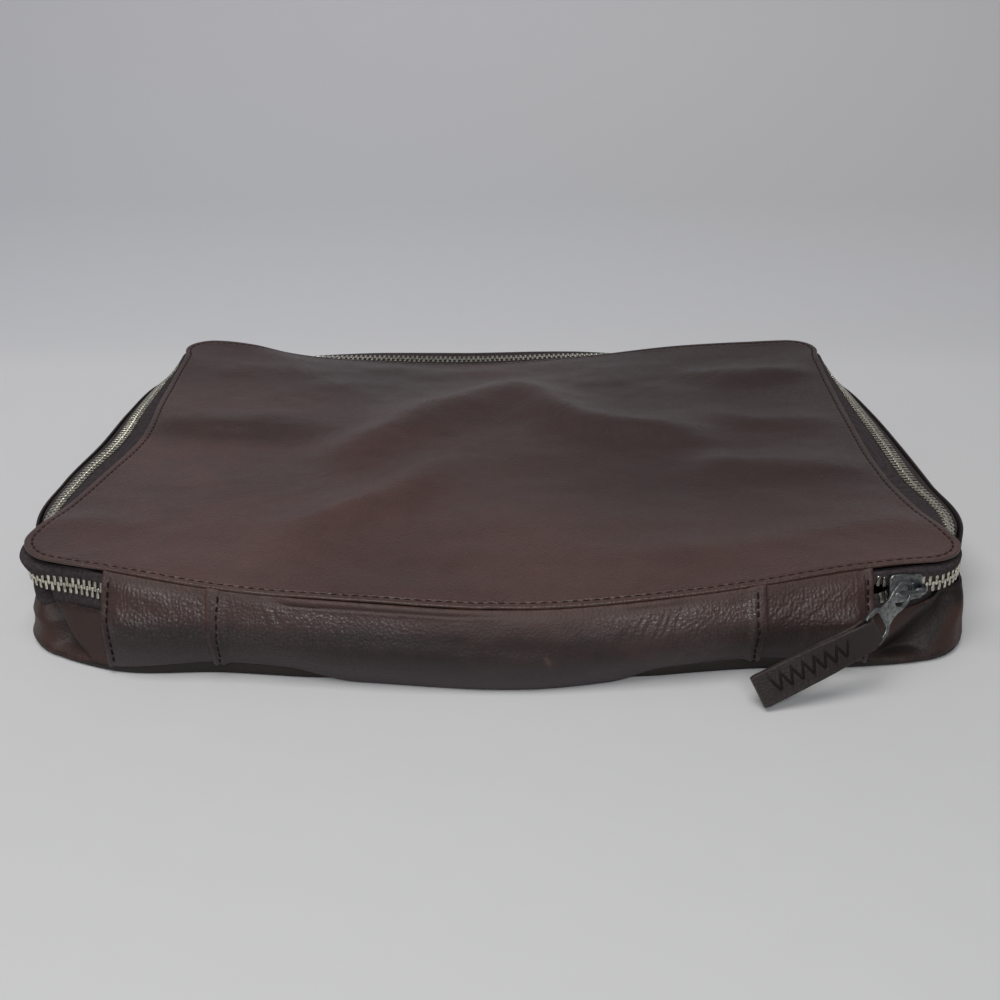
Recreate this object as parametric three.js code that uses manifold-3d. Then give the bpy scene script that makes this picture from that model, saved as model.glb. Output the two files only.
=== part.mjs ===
// Leather laptop sleeve lying flat with its zip closed.
// Millimetres, +Z up. The long closed side (the spine) faces -Y, the zip runs
// from the right end of the spine round the back to its left end.
// The origin lies on the resting plane, under the middle of the top panel.
import * as THREE from 'three';
import Module from 'manifold-3d';
import { mergeVertices } from 'three/addons/utils/BufferGeometryUtils.js';

const wasm = await Module();
wasm.setup();

// ---------------------------------------------------------------- sizes
const HALF_WIDTH = 190;        // guide outline, half its width
const HALF_DEPTH = 133;        // guide outline, half its depth
const CORNER_RADIUS = 18;      // guide outline, corner radius
const PANEL = 2.2;             // top panel thickness
const LEATHER = 2.0;           // gusset and spine leather thickness
const SOLE = 2.0;              // bottom panel thickness
const TAPE = 0.9;              // zip tape thickness
const CHAIN_THICK = 3.0;       // thickness of the closed row of teeth
const CHAIN_INSET = 1.2;       // tape edge to the side of the teeth
const TAPE_FLAT = 2.4;         // tape lying level with the teeth beside them
const GAP = 0.35;              // clearance between neighbouring pieces
const TAPE_TUCK = 4.0;         // how far a tape runs under the leather
const CROWN = 34.6;            // height of the middle of the top panel
const CROWN_POWER = 2.6;       // how fast the panel rises towards its edge
const SEAM_X = 105;            // where the spine laps its end patches
const ZIP_END_X = 148.5;       // where the end patches stop, over the zip
const MOUTH_LEFT = -88;        // slit between panel and spine, left end
const MOUTH_RIGHT = 80;        // slit between panel and spine, right end
const MOUTH_DROP = 1.2;        // how far the spine's lip drops there
const SLIDER_X = 161.2;        // slider's middle along the front
const SLIDER_LENGTH = 14;
const SLIDER_WIDE = 11.6;      // across the open mouth
const SLIDER_NARROW = 10.0;    // across the closed end
const SLIDER_PLATE = 1.25;     // plate thickness, above and below the teeth
const BRIDGE_LIFT = 5.5;       // bridge bar's axis above the upper plate
const BRIDGE_RADIUS = 0.75;
const BRIDGE_LEFT = -7.8;      // ends of the bridge bar along the slider
const BRIDGE_RIGHT = 5.4;
const PULL_SHIFT = -5.0;       // where the pull hangs along the bridge
const PULL_SKEW = 38;          // turn of the pull's plate away from the bar
const PULL_THICK = 1.3;
const PULL_REACH = 20.6;         // bridge bar to the slot's outer bar
const TAB_WIDTH = 12.6;
const TAB_NECK = 8.8;          // tab's width where it passes the slot
const TAB_LAYER = 1.55;        // one layer of the folded tab
const STATION_STEP = 18;       // spacing of wall sections on the straights

// Sections of the wall, counter-clockwise from the middle of the spine.
// side and at place the section on the guide outline; the other columns are
// distances outwards from it (Out) and heights (Z): top panel edge, upper and
// lower edge of the teeth, gusset edge, belly, and foot of the wall.
const SECTION_COLUMNS = ['side', 'at', 'topOut', 'topZ', 'upOut', 'upZ', 'loOut', 'loZ',
  'gusOut', 'gusZ', 'bellyOut', 'bellyZ', 'footOut', 'footZ'];
const SECTIONS = [
  ['front', 20, 22, 33.0, 24.6, 29.4, 27.6, 24.5, 30.0, 17, 30.8, 9, 28.8, 2.4],
  ['front', 65, 18, 35.0, 20.0, 31.2, 22.2, 25.5, 23.6, 17, 23.2, 10, 20.5, 4.2],
  ['front', 103, 13, 38.0, 14.4, 33.8, 16.0, 27.0, 17.0, 18, 17.0, 11, 15.2, 5.8],
  ['front', 148, 4, 41.0, 6.0, 36.0, 9.0, 28.5, 12.6, 23.5, 13.8, 10, 13.4, 3.4],
  ['front', 160, 2.4, 41.6, 3.6, 35.9, 5.6, 28.5, 9.1, 23.7, 11.6, 10, 12.0, 3.0],
  ['corner', 0, -0.4, 42.0, -0.6, 35.8, -0.4, 28.6, 2.6, 24.0, 5.4, 12, 6.6, 2.5],
  ['right', -108, -2.6, 41.2, -0.6, 36.6, 0.4, 29.8, 3.8, 25.2, 5.0, 14, 4.2, 2.5],
  ['right', -85, -6, 38.8, 2.2, 35.6, 8.6, 32.4, 13.4, 30.8, 13.8, 16, 8.5, 2.5],
  ['right', -45, -9, 36.5, -1.0, 33.8, 6.4, 33.0, 12.8, 32.0, 14.6, 17, 9.0, 2.5],
  ['right', 0, -8, 36.0, -0.5, 33.6, 6.9, 32.8, 12.1, 32.2, 14.6, 17, 9.0, 2.5],
  ['right', 45, -6, 37.0, -0.2, 34.2, 6.5, 32.0, 11.6, 30.8, 13.0, 16, 8.5, 2.5],
  ['right', 90, -4.5, 39.5, 0.0, 35.6, 4.6, 31.0, 9.1, 28.5, 10.8, 14, 7.5, 2.5],
  ['right', 110, -3.6, 41.6, 0.0, 36.6, 2.2, 30.4, 6.2, 26.8, 8.0, 13, 5.4, 2.5],
  ['corner', 1, 0.8, 42.6, 0.6, 36.6, 1.0, 29.4, 3.9, 25.0, 5.5, 12, 4.2, 2.5],
  ['back', 145, -0.2, 42.0, 1.4, 36.6, 4.4, 30.2, 8.4, 26.6, 9.4, 12.5, 6.5, 2.5],
  ['back', 110, -1, 40.2, 1.5, 36.0, 5.5, 31.0, 9.8, 28.0, 10.8, 13, 7.5, 2.5],
  ['back', 50, -3, 34.0, 0.6, 31.6, 7.8, 31.4, 13.0, 31.0, 13.8, 15, 8.0, 2.5],
  ['back', -20, -6, 30.0, -1.2, 28.6, 6.0, 30.2, 11.0, 31.0, 12.6, 15, 8.0, 2.5],
  ['back', -80, -4, 31.6, -0.2, 29.6, 6.8, 30.6, 12.0, 30.4, 12.8, 15, 8.0, 2.5],
  ['back', -130, -2.5, 36.6, 0.4, 33.4, 5.2, 30.0, 10.1, 28.0, 11.0, 13, 7.5, 2.5],
  ['back', -150, -1.6, 41.2, 0.6, 36.0, 3.6, 29.8, 7.6, 26.4, 9.0, 12.5, 6.5, 2.5],
  ['corner', 2, 0.4, 42.6, 0.5, 36.6, 1.0, 29.4, 3.9, 25.0, 5.5, 12, 4.2, 2.5],
  ['left', 110, -4.6, 41.4, -0.8, 36.4, 1.8, 30.4, 6.0, 26.9, 7.8, 13, 5.2, 2.5],
  ['left', 90, -5, 39.0, -1.0, 35.4, 4.2, 31.6, 8.8, 29.4, 10.6, 14, 7.0, 2.5],
  ['left', 45, -8, 37.5, -1.8, 34.6, 5.0, 32.6, 10.1, 31.2, 12.4, 16, 8.0, 2.5],
  ['left', 0, -12, 36.0, -4.0, 33.6, 3.4, 32.9, 9.2, 32.0, 13.6, 17, 9.0, 2.5],
  ['left', -45, -8.5, 37.0, -0.9, 34.2, 6.5, 32.9, 11.6, 31.8, 14.4, 17, 9.0, 2.5],
  ['left', -85, -5, 39.0, -1.4, 35.6, 4.2, 32.4, 8.8, 30.6, 10.6, 16, 7.0, 2.5],
  ['left', -108, -2.2, 41.4, -1.6, 36.4, -2.6, 29.4, 0.3, 24.6, 0.8, 14, 2.0, 2.5],
  ['corner', 3, -1.0, 42.0, -0.9, 34.8, -1.2, 27.6, 1.6, 22.9, 3.2, 12, 5.6, 2.5],
  ['front', -160, 5.6, 41.6, 4.8, 34.8, 6.6, 27.6, 10.0, 22.9, 13.4, 10, 14.8, 3.0],
  ['front', -148, 8, 41.0, 9.8, 35.2, 12.6, 27.6, 16.2, 22.6, 18.0, 9, 18.6, 3.4],
  ['front', -103, 17, 38.0, 18.4, 33.8, 20.0, 27.0, 20.8, 18, 21.0, 11, 19.5, 5.8],
  ['front', -50, 21, 35.4, 22.8, 31.6, 25.2, 25.5, 27.0, 17, 27.0, 10, 24.8, 4.0],
].map((row) => Object.fromEntries(row.map((value, i) => [SECTION_COLUMNS[i], value])));

// Soft dents and ridges of the top panel: centre, direction of the long axis,
// half length, half width, and height (negative for a hollow).
const DENT_COLUMNS = ['x', 'y', 'turn', 'along', 'across', 'height'];
const DENTS = [
  [-62, 20, 34, 70, 13, 1.6],
  [-30, -12, 30, 66, 14, -1.6],
  [20, 88, 10, 60, 12, 1.2],
  [78, 92, -12, 42, 9, 1.1],
  [70, 60, -6, 48, 12, -1.0],
  [-150, 16, 0, 38, 10, -1.4],
  [-158, -18, 4, 30, 9, 1.0],
  [152, -24, 6, 36, 12, -1.2],
  [30, -60, 4, 90, 30, -0.9],
].map((row) => Object.fromEntries(row.map((value, i) => [DENT_COLUMNS[i], value])));

// Diagonal folds of the gusset at the two front corners: they run from the
// zip at the corner's outer side down to the foot of the end patch.
const FOLD_COLUMNS = ['fromS', 'fromZ', 'toS', 'toZ', 'width', 'depth'];

// ------------------------------------------------------- guide outline
const STRAIGHT_X = HALF_WIDTH - CORNER_RADIUS;
const STRAIGHT_Y = HALF_DEPTH - CORNER_RADIUS;
const QUARTER = Math.PI * CORNER_RADIUS / 2;
const ROUND = 4 * STRAIGHT_X + 4 * STRAIGHT_Y + 4 * QUARTER;

const wrap = (s) => ((s % ROUND) + ROUND) % ROUND;

function stationOf(side, at) {
  if (side === 'front') return wrap(at);
  if (side === 'right') return STRAIGHT_X + QUARTER + at + STRAIGHT_Y;
  if (side === 'back') return 2 * STRAIGHT_X + 2 * QUARTER + 2 * STRAIGHT_Y - at;
  if (side === 'left') return 3 * STRAIGHT_X + 3 * QUARTER + 3 * STRAIGHT_Y - at;
  const turnStart = [STRAIGHT_X, STRAIGHT_X + QUARTER + 2 * STRAIGHT_Y,
    3 * STRAIGHT_X + 2 * QUARTER + 2 * STRAIGHT_Y,
    3 * STRAIGHT_X + 3 * QUARTER + 4 * STRAIGHT_Y];
  return turnStart[at] + QUARTER / 2;
}

const FOLDS = [
  [stationOf('corner', 0) + 16, 24, ZIP_END_X + 4, 4, 7, 6],
  [stationOf('corner', 3) - 16, 24, ROUND - ZIP_END_X - 4, 4, 7, 6],
].map((row) => Object.fromEntries(row.map((value, i) => [FOLD_COLUMNS[i], value])));

// Point and outward direction of the guide outline at station s.
function guide(s) {
  let rest = wrap(s);
  const runs = [
    ['line', 0, -HALF_DEPTH, 0, STRAIGHT_X],
    ['turn', STRAIGHT_X, -STRAIGHT_Y, -90, QUARTER],
    ['line', HALF_WIDTH, -STRAIGHT_Y, 90, 2 * STRAIGHT_Y],
    ['turn', STRAIGHT_X, STRAIGHT_Y, 0, QUARTER],
    ['line', STRAIGHT_X, HALF_DEPTH, 180, 2 * STRAIGHT_X],
    ['turn', -STRAIGHT_X, STRAIGHT_Y, 90, QUARTER],
    ['line', -HALF_WIDTH, STRAIGHT_Y, 270, 2 * STRAIGHT_Y],
    ['turn', -STRAIGHT_X, -STRAIGHT_Y, 180, QUARTER],
    ['line', -STRAIGHT_X, -HALF_DEPTH, 0, STRAIGHT_X],
  ];
  for (const [kind, x, y, degrees, length] of runs) {
    if (rest > length) { rest -= length; continue; }
    const angle = THREE.MathUtils.degToRad(degrees);
    if (kind === 'line') {
      const heading = [Math.cos(angle), Math.sin(angle)];
      return { x: x + heading[0] * rest, y: y + heading[1] * rest, nx: heading[1], ny: -heading[0] };
    }
    const a = angle + rest / CORNER_RADIUS;
    return { x: x + CORNER_RADIUS * Math.cos(a), y: y + CORNER_RADIUS * Math.sin(a), nx: Math.cos(a), ny: Math.sin(a) };
  }
  return { x: 0, y: -HALF_DEPTH, nx: 0, ny: -1 };
}

// ------------------------------------------------- section interpolation
const KNOTS = SECTIONS.map((row) => ({ ...row, s: stationOf(row.side, row.at) }))
  .sort((a, b) => a.s - b.s);

// All columns at station s, by a closed cubic through the table's rows.
function section(s) {
  const n = KNOTS.length;
  const here = wrap(s);
  let i = KNOTS.findIndex((knot) => knot.s > here);
  i = (i < 0 ? n : i) - 1;
  const at = (k) => {
    const turn = Math.floor(k / n);
    return { knot: KNOTS[k - turn * n], s: KNOTS[k - turn * n].s + turn * ROUND };
  };
  const [p0, p1, p2, p3] = [at(i - 1), at(i), at(i + 1), at(i + 2)];
  const span = p2.s - p1.s;
  const t = (here - p1.s) / span;
  const out = {};
  for (const name of SECTION_COLUMNS.slice(2)) {
    const [v0, v1, v2, v3] = [p0, p1, p2, p3].map((p) => p.knot[name]);
    const slope = (a, b, c, va, vb, vc) => {
      const [l, r] = [(vb - va) / (b - a), (vc - vb) / (c - b)];
      return (l * (c - b) + r * (b - a)) / (c - a);
    };
    const m1 = slope(p0.s, p1.s, p2.s, v0, v1, v2) * span;
    const m2 = slope(p1.s, p2.s, p3.s, v1, v2, v3) * span;
    const [tt, ttt] = [t * t, t * t * t];
    out[name] = (2 * ttt - 3 * tt + 1) * v1 + (ttt - 2 * tt + t) * m1
      + (3 * tt - 2 * ttt) * v2 + (ttt - tt) * m2;
  }
  return out;
}

const place = (s, out, z) => {
  const g = guide(s);
  return [g.x + g.nx * out, g.y + g.ny * out, z];
};

const gauss = (d) => Math.exp(-d * d);

function foldDepth(s, z) {
  let depth = 0;
  for (const fold of FOLDS) {
    const [ds, dz] = [fold.toS - fold.fromS, fold.toZ - fold.fromZ];
    const length = Math.hypot(ds, dz);
    const along = THREE.MathUtils.clamp(((s - fold.fromS) * ds + (z - fold.fromZ) * dz) / (length * length), 0, 1);
    const off = Math.hypot(s - fold.fromS - along * ds, z - fold.fromZ - along * dz);
    depth += fold.depth * gauss(off / fold.width) * Math.sin(Math.PI * (0.15 + 0.7 * along));
  }
  return depth;
}

// Outer face of the gusset and of the lower spine at height z.
function bellyOut(sec, s, z) {
  const above = z > sec.bellyZ;
  const [endOut, endZ] = above ? [sec.gusOut, sec.gusZ] : [sec.footOut, sec.footZ];
  const t = (z - sec.bellyZ) / (endZ - sec.bellyZ);
  return sec.bellyOut - (sec.bellyOut - endOut) * t * t - foldDepth(wrap(s), z);
}

// Surface of the top panel over the plan point (x, y): share is 0 in the
// middle and 1 on the edge, whose height is edgeZ.
function panelZ(x, y, share, edgeZ) {
  let z = CROWN + (edgeZ - CROWN) * share ** CROWN_POWER;
  const calm = 1 - share ** 8;
  for (const dent of DENTS) {
    const turn = THREE.MathUtils.degToRad(dent.turn);
    const [dx, dy] = [x - dent.x, y - dent.y];
    const along = (dx * Math.cos(turn) + dy * Math.sin(turn)) / dent.along;
    const across = (dy * Math.cos(turn) - dx * Math.sin(turn)) / dent.across;
    z += calm * dent.height * gauss(along) * gauss(across);
  }
  return z;
}

// ------------------------------------------------------- solid builders
function solid(points, faces) {
  let volume = 0;
  const at = (i) => points[i];
  for (const [a, b, c] of faces) {
    const [p, q, r] = [at(a), at(b), at(c)];
    volume += p[0] * (q[1] * r[2] - q[2] * r[1]) - p[1] * (q[0] * r[2] - q[2] * r[0])
      + p[2] * (q[0] * r[1] - q[1] * r[0]);
  }
  const ordered = volume < 0 ? faces.map(([a, b, c]) => [a, c, b]) : faces;
  const geometry = new THREE.BufferGeometry();
  geometry.setAttribute('position', new THREE.Float32BufferAttribute(points.flat(), 3));
  geometry.setIndex(ordered.flat());
  geometry.computeVertexNormals();
  return geometry;
}

// Joins equal rings of points into a closed skin; open runs get end caps made
// of quads between the outer half of the ring and its inner half.
function loft(rings, closed) {
  const m = rings[0].length;
  const points = rings.flat();
  const faces = [];
  const last = closed ? rings.length : rings.length - 1;
  for (let i = 0; i < last; i += 1) {
    const [a, b] = [i * m, ((i + 1) % rings.length) * m];
    for (let k = 0; k < m; k += 1) {
      const next = (k + 1) % m;
      faces.push([a + k, b + k, b + next], [a + k, b + next, a + next]);
    }
  }
  if (!closed) {
    for (const [base, flip] of [[0, true], [(rings.length - 1) * m, false]]) {
      for (let k = 0; k < m / 2 - 1; k += 1) {
        const [p, q, r, t] = [base + k, base + k + 1, base + m - 2 - k, base + m - 1 - k];
        faces.push(...(flip ? [[p, q, r], [p, r, t]] : [[p, r, q], [p, t, r]]));
      }
    }
  }
  return solid(points, faces);
}

// Ring of a strip's cross-section: a line of (out, z) pairs from the top down
// as the outer face, and the same line moved inwards by the thickness; square
// ends are cut level.
function skinRing(s, line, thick, square = false) {
  const inner = line.map(([o, z], k) => {
    if (square && (k === 0 || k === line.length - 1)) return [o - thick, z];
    const before = line[Math.max(k - 1, 0)];
    const after = line[Math.min(k + 1, line.length - 1)];
    const [dO, dZ] = [after[0] - before[0], after[1] - before[1]];
    const length = Math.hypot(dO, dZ);
    return [o + thick * dZ / length, z - thick * dO / length];
  });
  return [...line, ...inner.reverse()].map(([o, z]) => place(s, o, z));
}

// Stations shared by all pieces, so that neighbours keep their gap; closer
// together round the corners, with one at each end of a spine piece.
const RING = (() => {
  const marks = [0, SEAM_X, ZIP_END_X, ROUND - ZIP_END_X, ROUND - SEAM_X, ROUND];
  const list = [];
  for (let k = 0; k < marks.length - 1; k += 1) {
    const [from, to] = [marks[k], marks[k + 1]];
    let s = from;
    while (s < to - 4) {
      list.push(s);
      const turning = [0, 1, 2, 3].some((c) => Math.abs(s + 3 - stationOf('corner', c)) < QUARTER * 0.6);
      s += turning ? 6.2 : STATION_STEP;
    }
  }
  return list;
})();

const stationsBetween = (from, to) => [from, ...[...RING.map((s) => s - ROUND), ...RING]
  .filter((s) => s > from + 1 && s < to - 1), to];

const strip = (from, to, lineOf, thick, square) => loft(
  stationsBetween(from, to).map((s) => skinRing(s, lineOf(section(s), wrap(s)), thick, square)), false);

function toManifold(geometry) {
  const bare = geometry.clone();
  bare.deleteAttribute('normal');
  bare.deleteAttribute('uv');
  const merged = bare.index ? mergeVertices(bare, 1e-4) : mergeVertices(bare, 1e-4);
  return new wasm.Manifold(new wasm.Mesh({
    numProp: 3,
    vertProperties: new Float32Array(merged.attributes.position.array),
    triVerts: new Uint32Array(merged.index.array),
  }));
}

function fromManifold(body) {
  const mesh = body.getMesh();
  const geometry = new THREE.BufferGeometry();
  geometry.setAttribute('position', new THREE.Float32BufferAttribute(mesh.vertProperties, 3));
  geometry.setIndex(Array.from(mesh.triVerts));
  geometry.computeVertexNormals();
  return geometry;
}

// ------------------------------------------------------- leather panels
const ZIP_FROM = ZIP_END_X;                 // right end of the zip
const ZIP_TO = ROUND - ZIP_END_X;           // left end of the zip
const allRound = RING;

function topPanel() {
  const shares = [1, 0.95, 0.84, 0.64, 0.36];
  const edge = allRound.map((s) => ({ s, sec: section(s) }));
  const layer = (drop) => shares.map((share, k) => edge.map(({ s, sec }) => {
    const tuck = k === 0 ? 0.7 : 0;
    const [x, y] = place(s, sec.topOut - tuck, 0);
    return [x * share, y * share, panelZ(x * share, y * share, share, sec.topZ) - drop];
  }));
  const lip = edge.map(({ s, sec }) => place(s, sec.topOut, sec.topZ - PANEL / 2));
  const rings = [...layer(0).reverse(), lip, ...layer(PANEL)];
  const n = allRound.length;
  const points = rings.flat();
  const faces = [];
  for (let k = 0; k < rings.length - 1; k += 1) {
    for (let i = 0; i < n; i += 1) {
      const next = (i + 1) % n;
      faces.push([k * n + i, (k + 1) * n + i, (k + 1) * n + next],
        [k * n + i, (k + 1) * n + next, k * n + next]);
    }
  }
  const middle = panelZ(0, 0, 0, CROWN);
  const [upper, lower] = [points.length, points.length + 1];
  points.push([0, 0, middle], [0, 0, middle - PANEL]);
  for (let i = 0; i < n; i += 1) {
    const next = (i + 1) % n;
    const base = (rings.length - 1) * n;
    faces.push([upper, i, next], [lower, base + next, base + i]);
  }
  return solid(points, faces);
}

// Shallow tray: a flat sole whose edge turns up to the foot of the wall.
function bottomPanel() {
  const lines = allRound.map((s) => {
    const sec = section(s);
    const rim = sec.footZ - GAP;
    const out = sec.footOut - 0.2;
    return [[out - SOLE - 2.4, SOLE], [out - SOLE - 0.4, rim], [out, rim],
      [out, Math.min(0.9, rim * 0.5)], [out - 0.9, 0]].map(([o, z]) => place(s, o, z));
  });
  const n = lines.length;
  const m = lines[0].length;
  const points = lines.flat();
  const faces = [];
  for (let i = 0; i < n; i += 1) {
    const next = (i + 1) % n;
    for (let k = 0; k < m - 1; k += 1) {
      faces.push([i * m + k, next * m + k, next * m + k + 1], [i * m + k, next * m + k + 1, i * m + k + 1]);
    }
  }
  const plan = (k) => lines.map((line) => new THREE.Vector2(line[k][0], line[k][1]));
  const inside = THREE.ShapeUtils.triangulateShape(plan(0), []);
  // The resting face holds one large triangle round the origin.
  const rest = [90, 210, 330].map((deg) => THREE.MathUtils.degToRad(deg))
    .map((a) => new THREE.Vector2(95 * Math.cos(a), 95 * Math.sin(a)));
  const base = points.length;
  points.push(...rest.map((p) => [p.x, p.y, 0]));
  const under = THREE.ShapeUtils.triangulateShape(plan(m - 1), [[...rest].reverse()]);
  const underIndex = (i) => (i < n ? i * m + m - 1 : base + 2 - (i - n));
  const orient = (tri, up) => {
    const [a, b, c] = tri.map((i) => points[i]);
    const turn = (b[0] - a[0]) * (c[1] - a[1]) - (b[1] - a[1]) * (c[0] - a[0]);
    return (turn > 0) === up ? tri : [tri[0], tri[2], tri[1]];
  };
  const wallUp = faces;
  const caps = [
    ...inside.map((tri) => orient(tri.map((i) => i * m), true)),
    ...under.map((tri) => orient(tri.map(underIndex), false)),
    orient([base, base + 1, base + 2], false),
  ];
  // The turned-up edge is wound so that its outer face looks outwards.
  const [a, b, c] = wallUp[2 * (m - 3)].map((i) => points[i]);
  const nrm = new THREE.Vector3().crossVectors(
    new THREE.Vector3(b[0] - a[0], b[1] - a[1], b[2] - a[2]),
    new THREE.Vector3(c[0] - a[0], c[1] - a[1], c[2] - a[2]));
  const outward = nrm.x * a[0] + nrm.y * a[1] > 0;
  return solid(points, [...(outward ? wallUp : wallUp.map(([p, q, r]) => [p, r, q])), ...caps]);
}

const gussetLine = (sec, s) => [1, 0.66, 0.33, 0, -0.4, -0.75, -1].map((t) => {
  const z = t > 0 ? sec.bellyZ + t * (sec.gusZ - sec.bellyZ) : sec.bellyZ - t * (sec.footZ - sec.bellyZ);
  return [bellyOut(sec, s, z), z];
});

function spineLine(sec, s) {
  const x = s > ROUND / 2 ? s - ROUND : s;
  const inMouth = x > MOUTH_LEFT && x < MOUTH_RIGHT ? MOUTH_DROP : 0;
  const upper = [[sec.topOut - 0.4, sec.topZ - PANEL - GAP - inMouth],
    [sec.upOut, Math.min(sec.upZ, sec.topZ - PANEL - GAP - inMouth - 0.7)], [sec.loOut, sec.loZ]];
  const lower = [1, 0.5, 0, -0.5, -1].map((t) => {
    const z = t > 0 ? sec.bellyZ + t * (sec.gusZ - sec.bellyZ) : sec.bellyZ - t * (sec.footZ - sec.bellyZ);
    return [bellyOut(sec, s, z), z];
  });
  return [...upper, ...lower];
}

// ------------------------------------------------------------------ zip
const chainHeading = (sec) => {
  const [dO, dZ] = [sec.loOut - sec.upOut, sec.loZ - sec.upZ];
  const length = Math.hypot(dO, dZ);
  return { eO: dO / length, eZ: dZ / length, length };
};

const upperTapeLine = (sec) => {
  const under = sec.topZ - PANEL - GAP;
  const { eO, eZ } = chainHeading(sec);
  const level = [sec.upOut - TAPE_FLAT * eO, Math.min(under - 0.2, sec.upZ - TAPE_FLAT * eZ)];
  const edgeOut = Math.min(sec.topOut - 0.6, level[0] - 0.8);
  return [[edgeOut - TAPE_TUCK, under - 1.7], [edgeOut, Math.min(under - 0.5, level[1] + 0.6)], level, [sec.upOut, sec.upZ]];
};

const lowerTapeLine = (sec, s) => {
  const { eO, eZ } = chainHeading(sec);
  const behind = (z) => Math.min(bellyOut(sec, s, Math.min(z, sec.gusZ)), sec.gusOut) - LEATHER - GAP - 0.3;
  const level = [Math.min(sec.loOut + TAPE_FLAT * eO, behind(sec.gusZ)), sec.loZ + TAPE_FLAT * eZ];
  const turnZ = Math.min(sec.gusZ + 0.4, level[1] - 0.5);
  return [[sec.loOut, sec.loZ], level, [behind(turnZ), turnZ], [behind(sec.gusZ - TAPE_TUCK), sec.gusZ - TAPE_TUCK]];
};

const chainLine = (sec) => {
  const { eO, eZ, length } = chainHeading(sec);
  const proud = (CHAIN_THICK - TAPE) / 2;
  return [CHAIN_INSET, length - CHAIN_INSET].map((d) => [sec.upOut + eO * d - eZ * proud, sec.upZ + eZ * d + eO * proud]);
};

// Frame of the slider: along the teeth, up across them, and out of them.
const sliderSec = section(SLIDER_X);
const chainMiddle = (s) => {
  const sec = section(s);
  const line = chainLine(sec);
  const ring = skinRing(s, line, CHAIN_THICK);
  return new THREE.Vector3(...[0, 1, 2].map((k) => ring.reduce((sum, p) => sum + p[k], 0) / ring.length));
};
const sliderAt = chainMiddle(SLIDER_X);
const sliderAlong = chainMiddle(SLIDER_X + 2.5).sub(chainMiddle(SLIDER_X - 4.5)).normalize();
const acrossRaw = new THREE.Vector3(...place(SLIDER_X, sliderSec.upOut, sliderSec.upZ))
  .sub(new THREE.Vector3(...place(SLIDER_X, sliderSec.loOut, sliderSec.loZ))).normalize();
const sliderOutward = new THREE.Vector3().crossVectors(sliderAlong, acrossRaw).normalize();
const sliderAcross = new THREE.Vector3().crossVectors(sliderOutward, sliderAlong).normalize();
const bodyHalf = CHAIN_THICK / 2 + GAP + SLIDER_PLATE;
const bridgeAt = sliderAt.clone().addScaledVector(sliderOutward, bodyHalf + BRIDGE_LIFT)
  .addScaledVector(sliderAlong, PULL_SHIFT);

const box = (x, y, z, cx, cy, cz) => {
  const geometry = new THREE.BoxGeometry(x, y, z);
  geometry.translate(cx, cy, cz);
  return toManifold(geometry);
};

function sliderBody() {
  const half = SLIDER_LENGTH / 2;
  const outline = new THREE.Shape([
    [-half, -SLIDER_WIDE / 2 + 1.6], [-half + 1.6, -SLIDER_WIDE / 2], [-half + 5.5, -SLIDER_WIDE / 2],
    [half - 3.5, -SLIDER_NARROW / 2], [half - 1.2, -SLIDER_NARROW / 2], [half, -SLIDER_NARROW / 2 + 1.2],
    [half, SLIDER_NARROW / 2 - 1.2], [half - 1.2, SLIDER_NARROW / 2], [half - 3.5, SLIDER_NARROW / 2],
    [-half + 5.5, SLIDER_WIDE / 2], [-half + 1.6, SLIDER_WIDE / 2], [-half, SLIDER_WIDE / 2 - 1.6],
  ].map(([x, y]) => new THREE.Vector2(x, y)));
  const block = new THREE.ExtrudeGeometry(outline, { depth: 2 * bodyHalf, bevelEnabled: false });
  block.translate(0, 0, -bodyHalf);
  const chainWidth = Math.hypot(sliderSec.loOut - sliderSec.upOut, sliderSec.loZ - sliderSec.upZ);
  const tunnel = box(SLIDER_LENGTH + 2, chainWidth - 0.3, CHAIN_THICK + 2 * GAP, 0, 0, 0);
  const slit = box(SLIDER_LENGTH + 2, SLIDER_WIDE + 2, TAPE + 5 * GAP, 0, 0, 0);
  const wedge = box(5.8, 2.6, 2 * bodyHalf - 0.4, -half + 3.2, 0, 0);
  const barShape = new THREE.CylinderGeometry(BRIDGE_RADIUS, BRIDGE_RADIUS, BRIDGE_RIGHT - BRIDGE_LEFT, 12);
  barShape.rotateZ(Math.PI / 2);
  barShape.translate((BRIDGE_LEFT + BRIDGE_RIGHT) / 2, 0, bodyHalf + BRIDGE_LIFT);
  const post = box(1.4, 2.4, BRIDGE_LIFT + BRIDGE_RADIUS + 0.3, BRIDGE_RIGHT - 0.5, 0, bodyHalf + (BRIDGE_LIFT + BRIDGE_RADIUS) / 2 - 0.15);
  const knob = new THREE.SphereGeometry(BRIDGE_RADIUS + 0.35, 10, 6);
  knob.translate(BRIDGE_LEFT, 0, bodyHalf + BRIDGE_LIFT);
  // The upper tape turns inwards over the edge of the inner plate.
  const relief = box(SLIDER_LENGTH + 2, 2.6, bodyHalf, 0, SLIDER_WIDE / 2, -bodyHalf / 2 - 0.01);
  return fromManifold(toManifold(block).subtract(tunnel).subtract(slit).subtract(relief).add(wedge)
    .add(toManifold(barShape)).add(post).add(toManifold(knob)));
}

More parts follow.
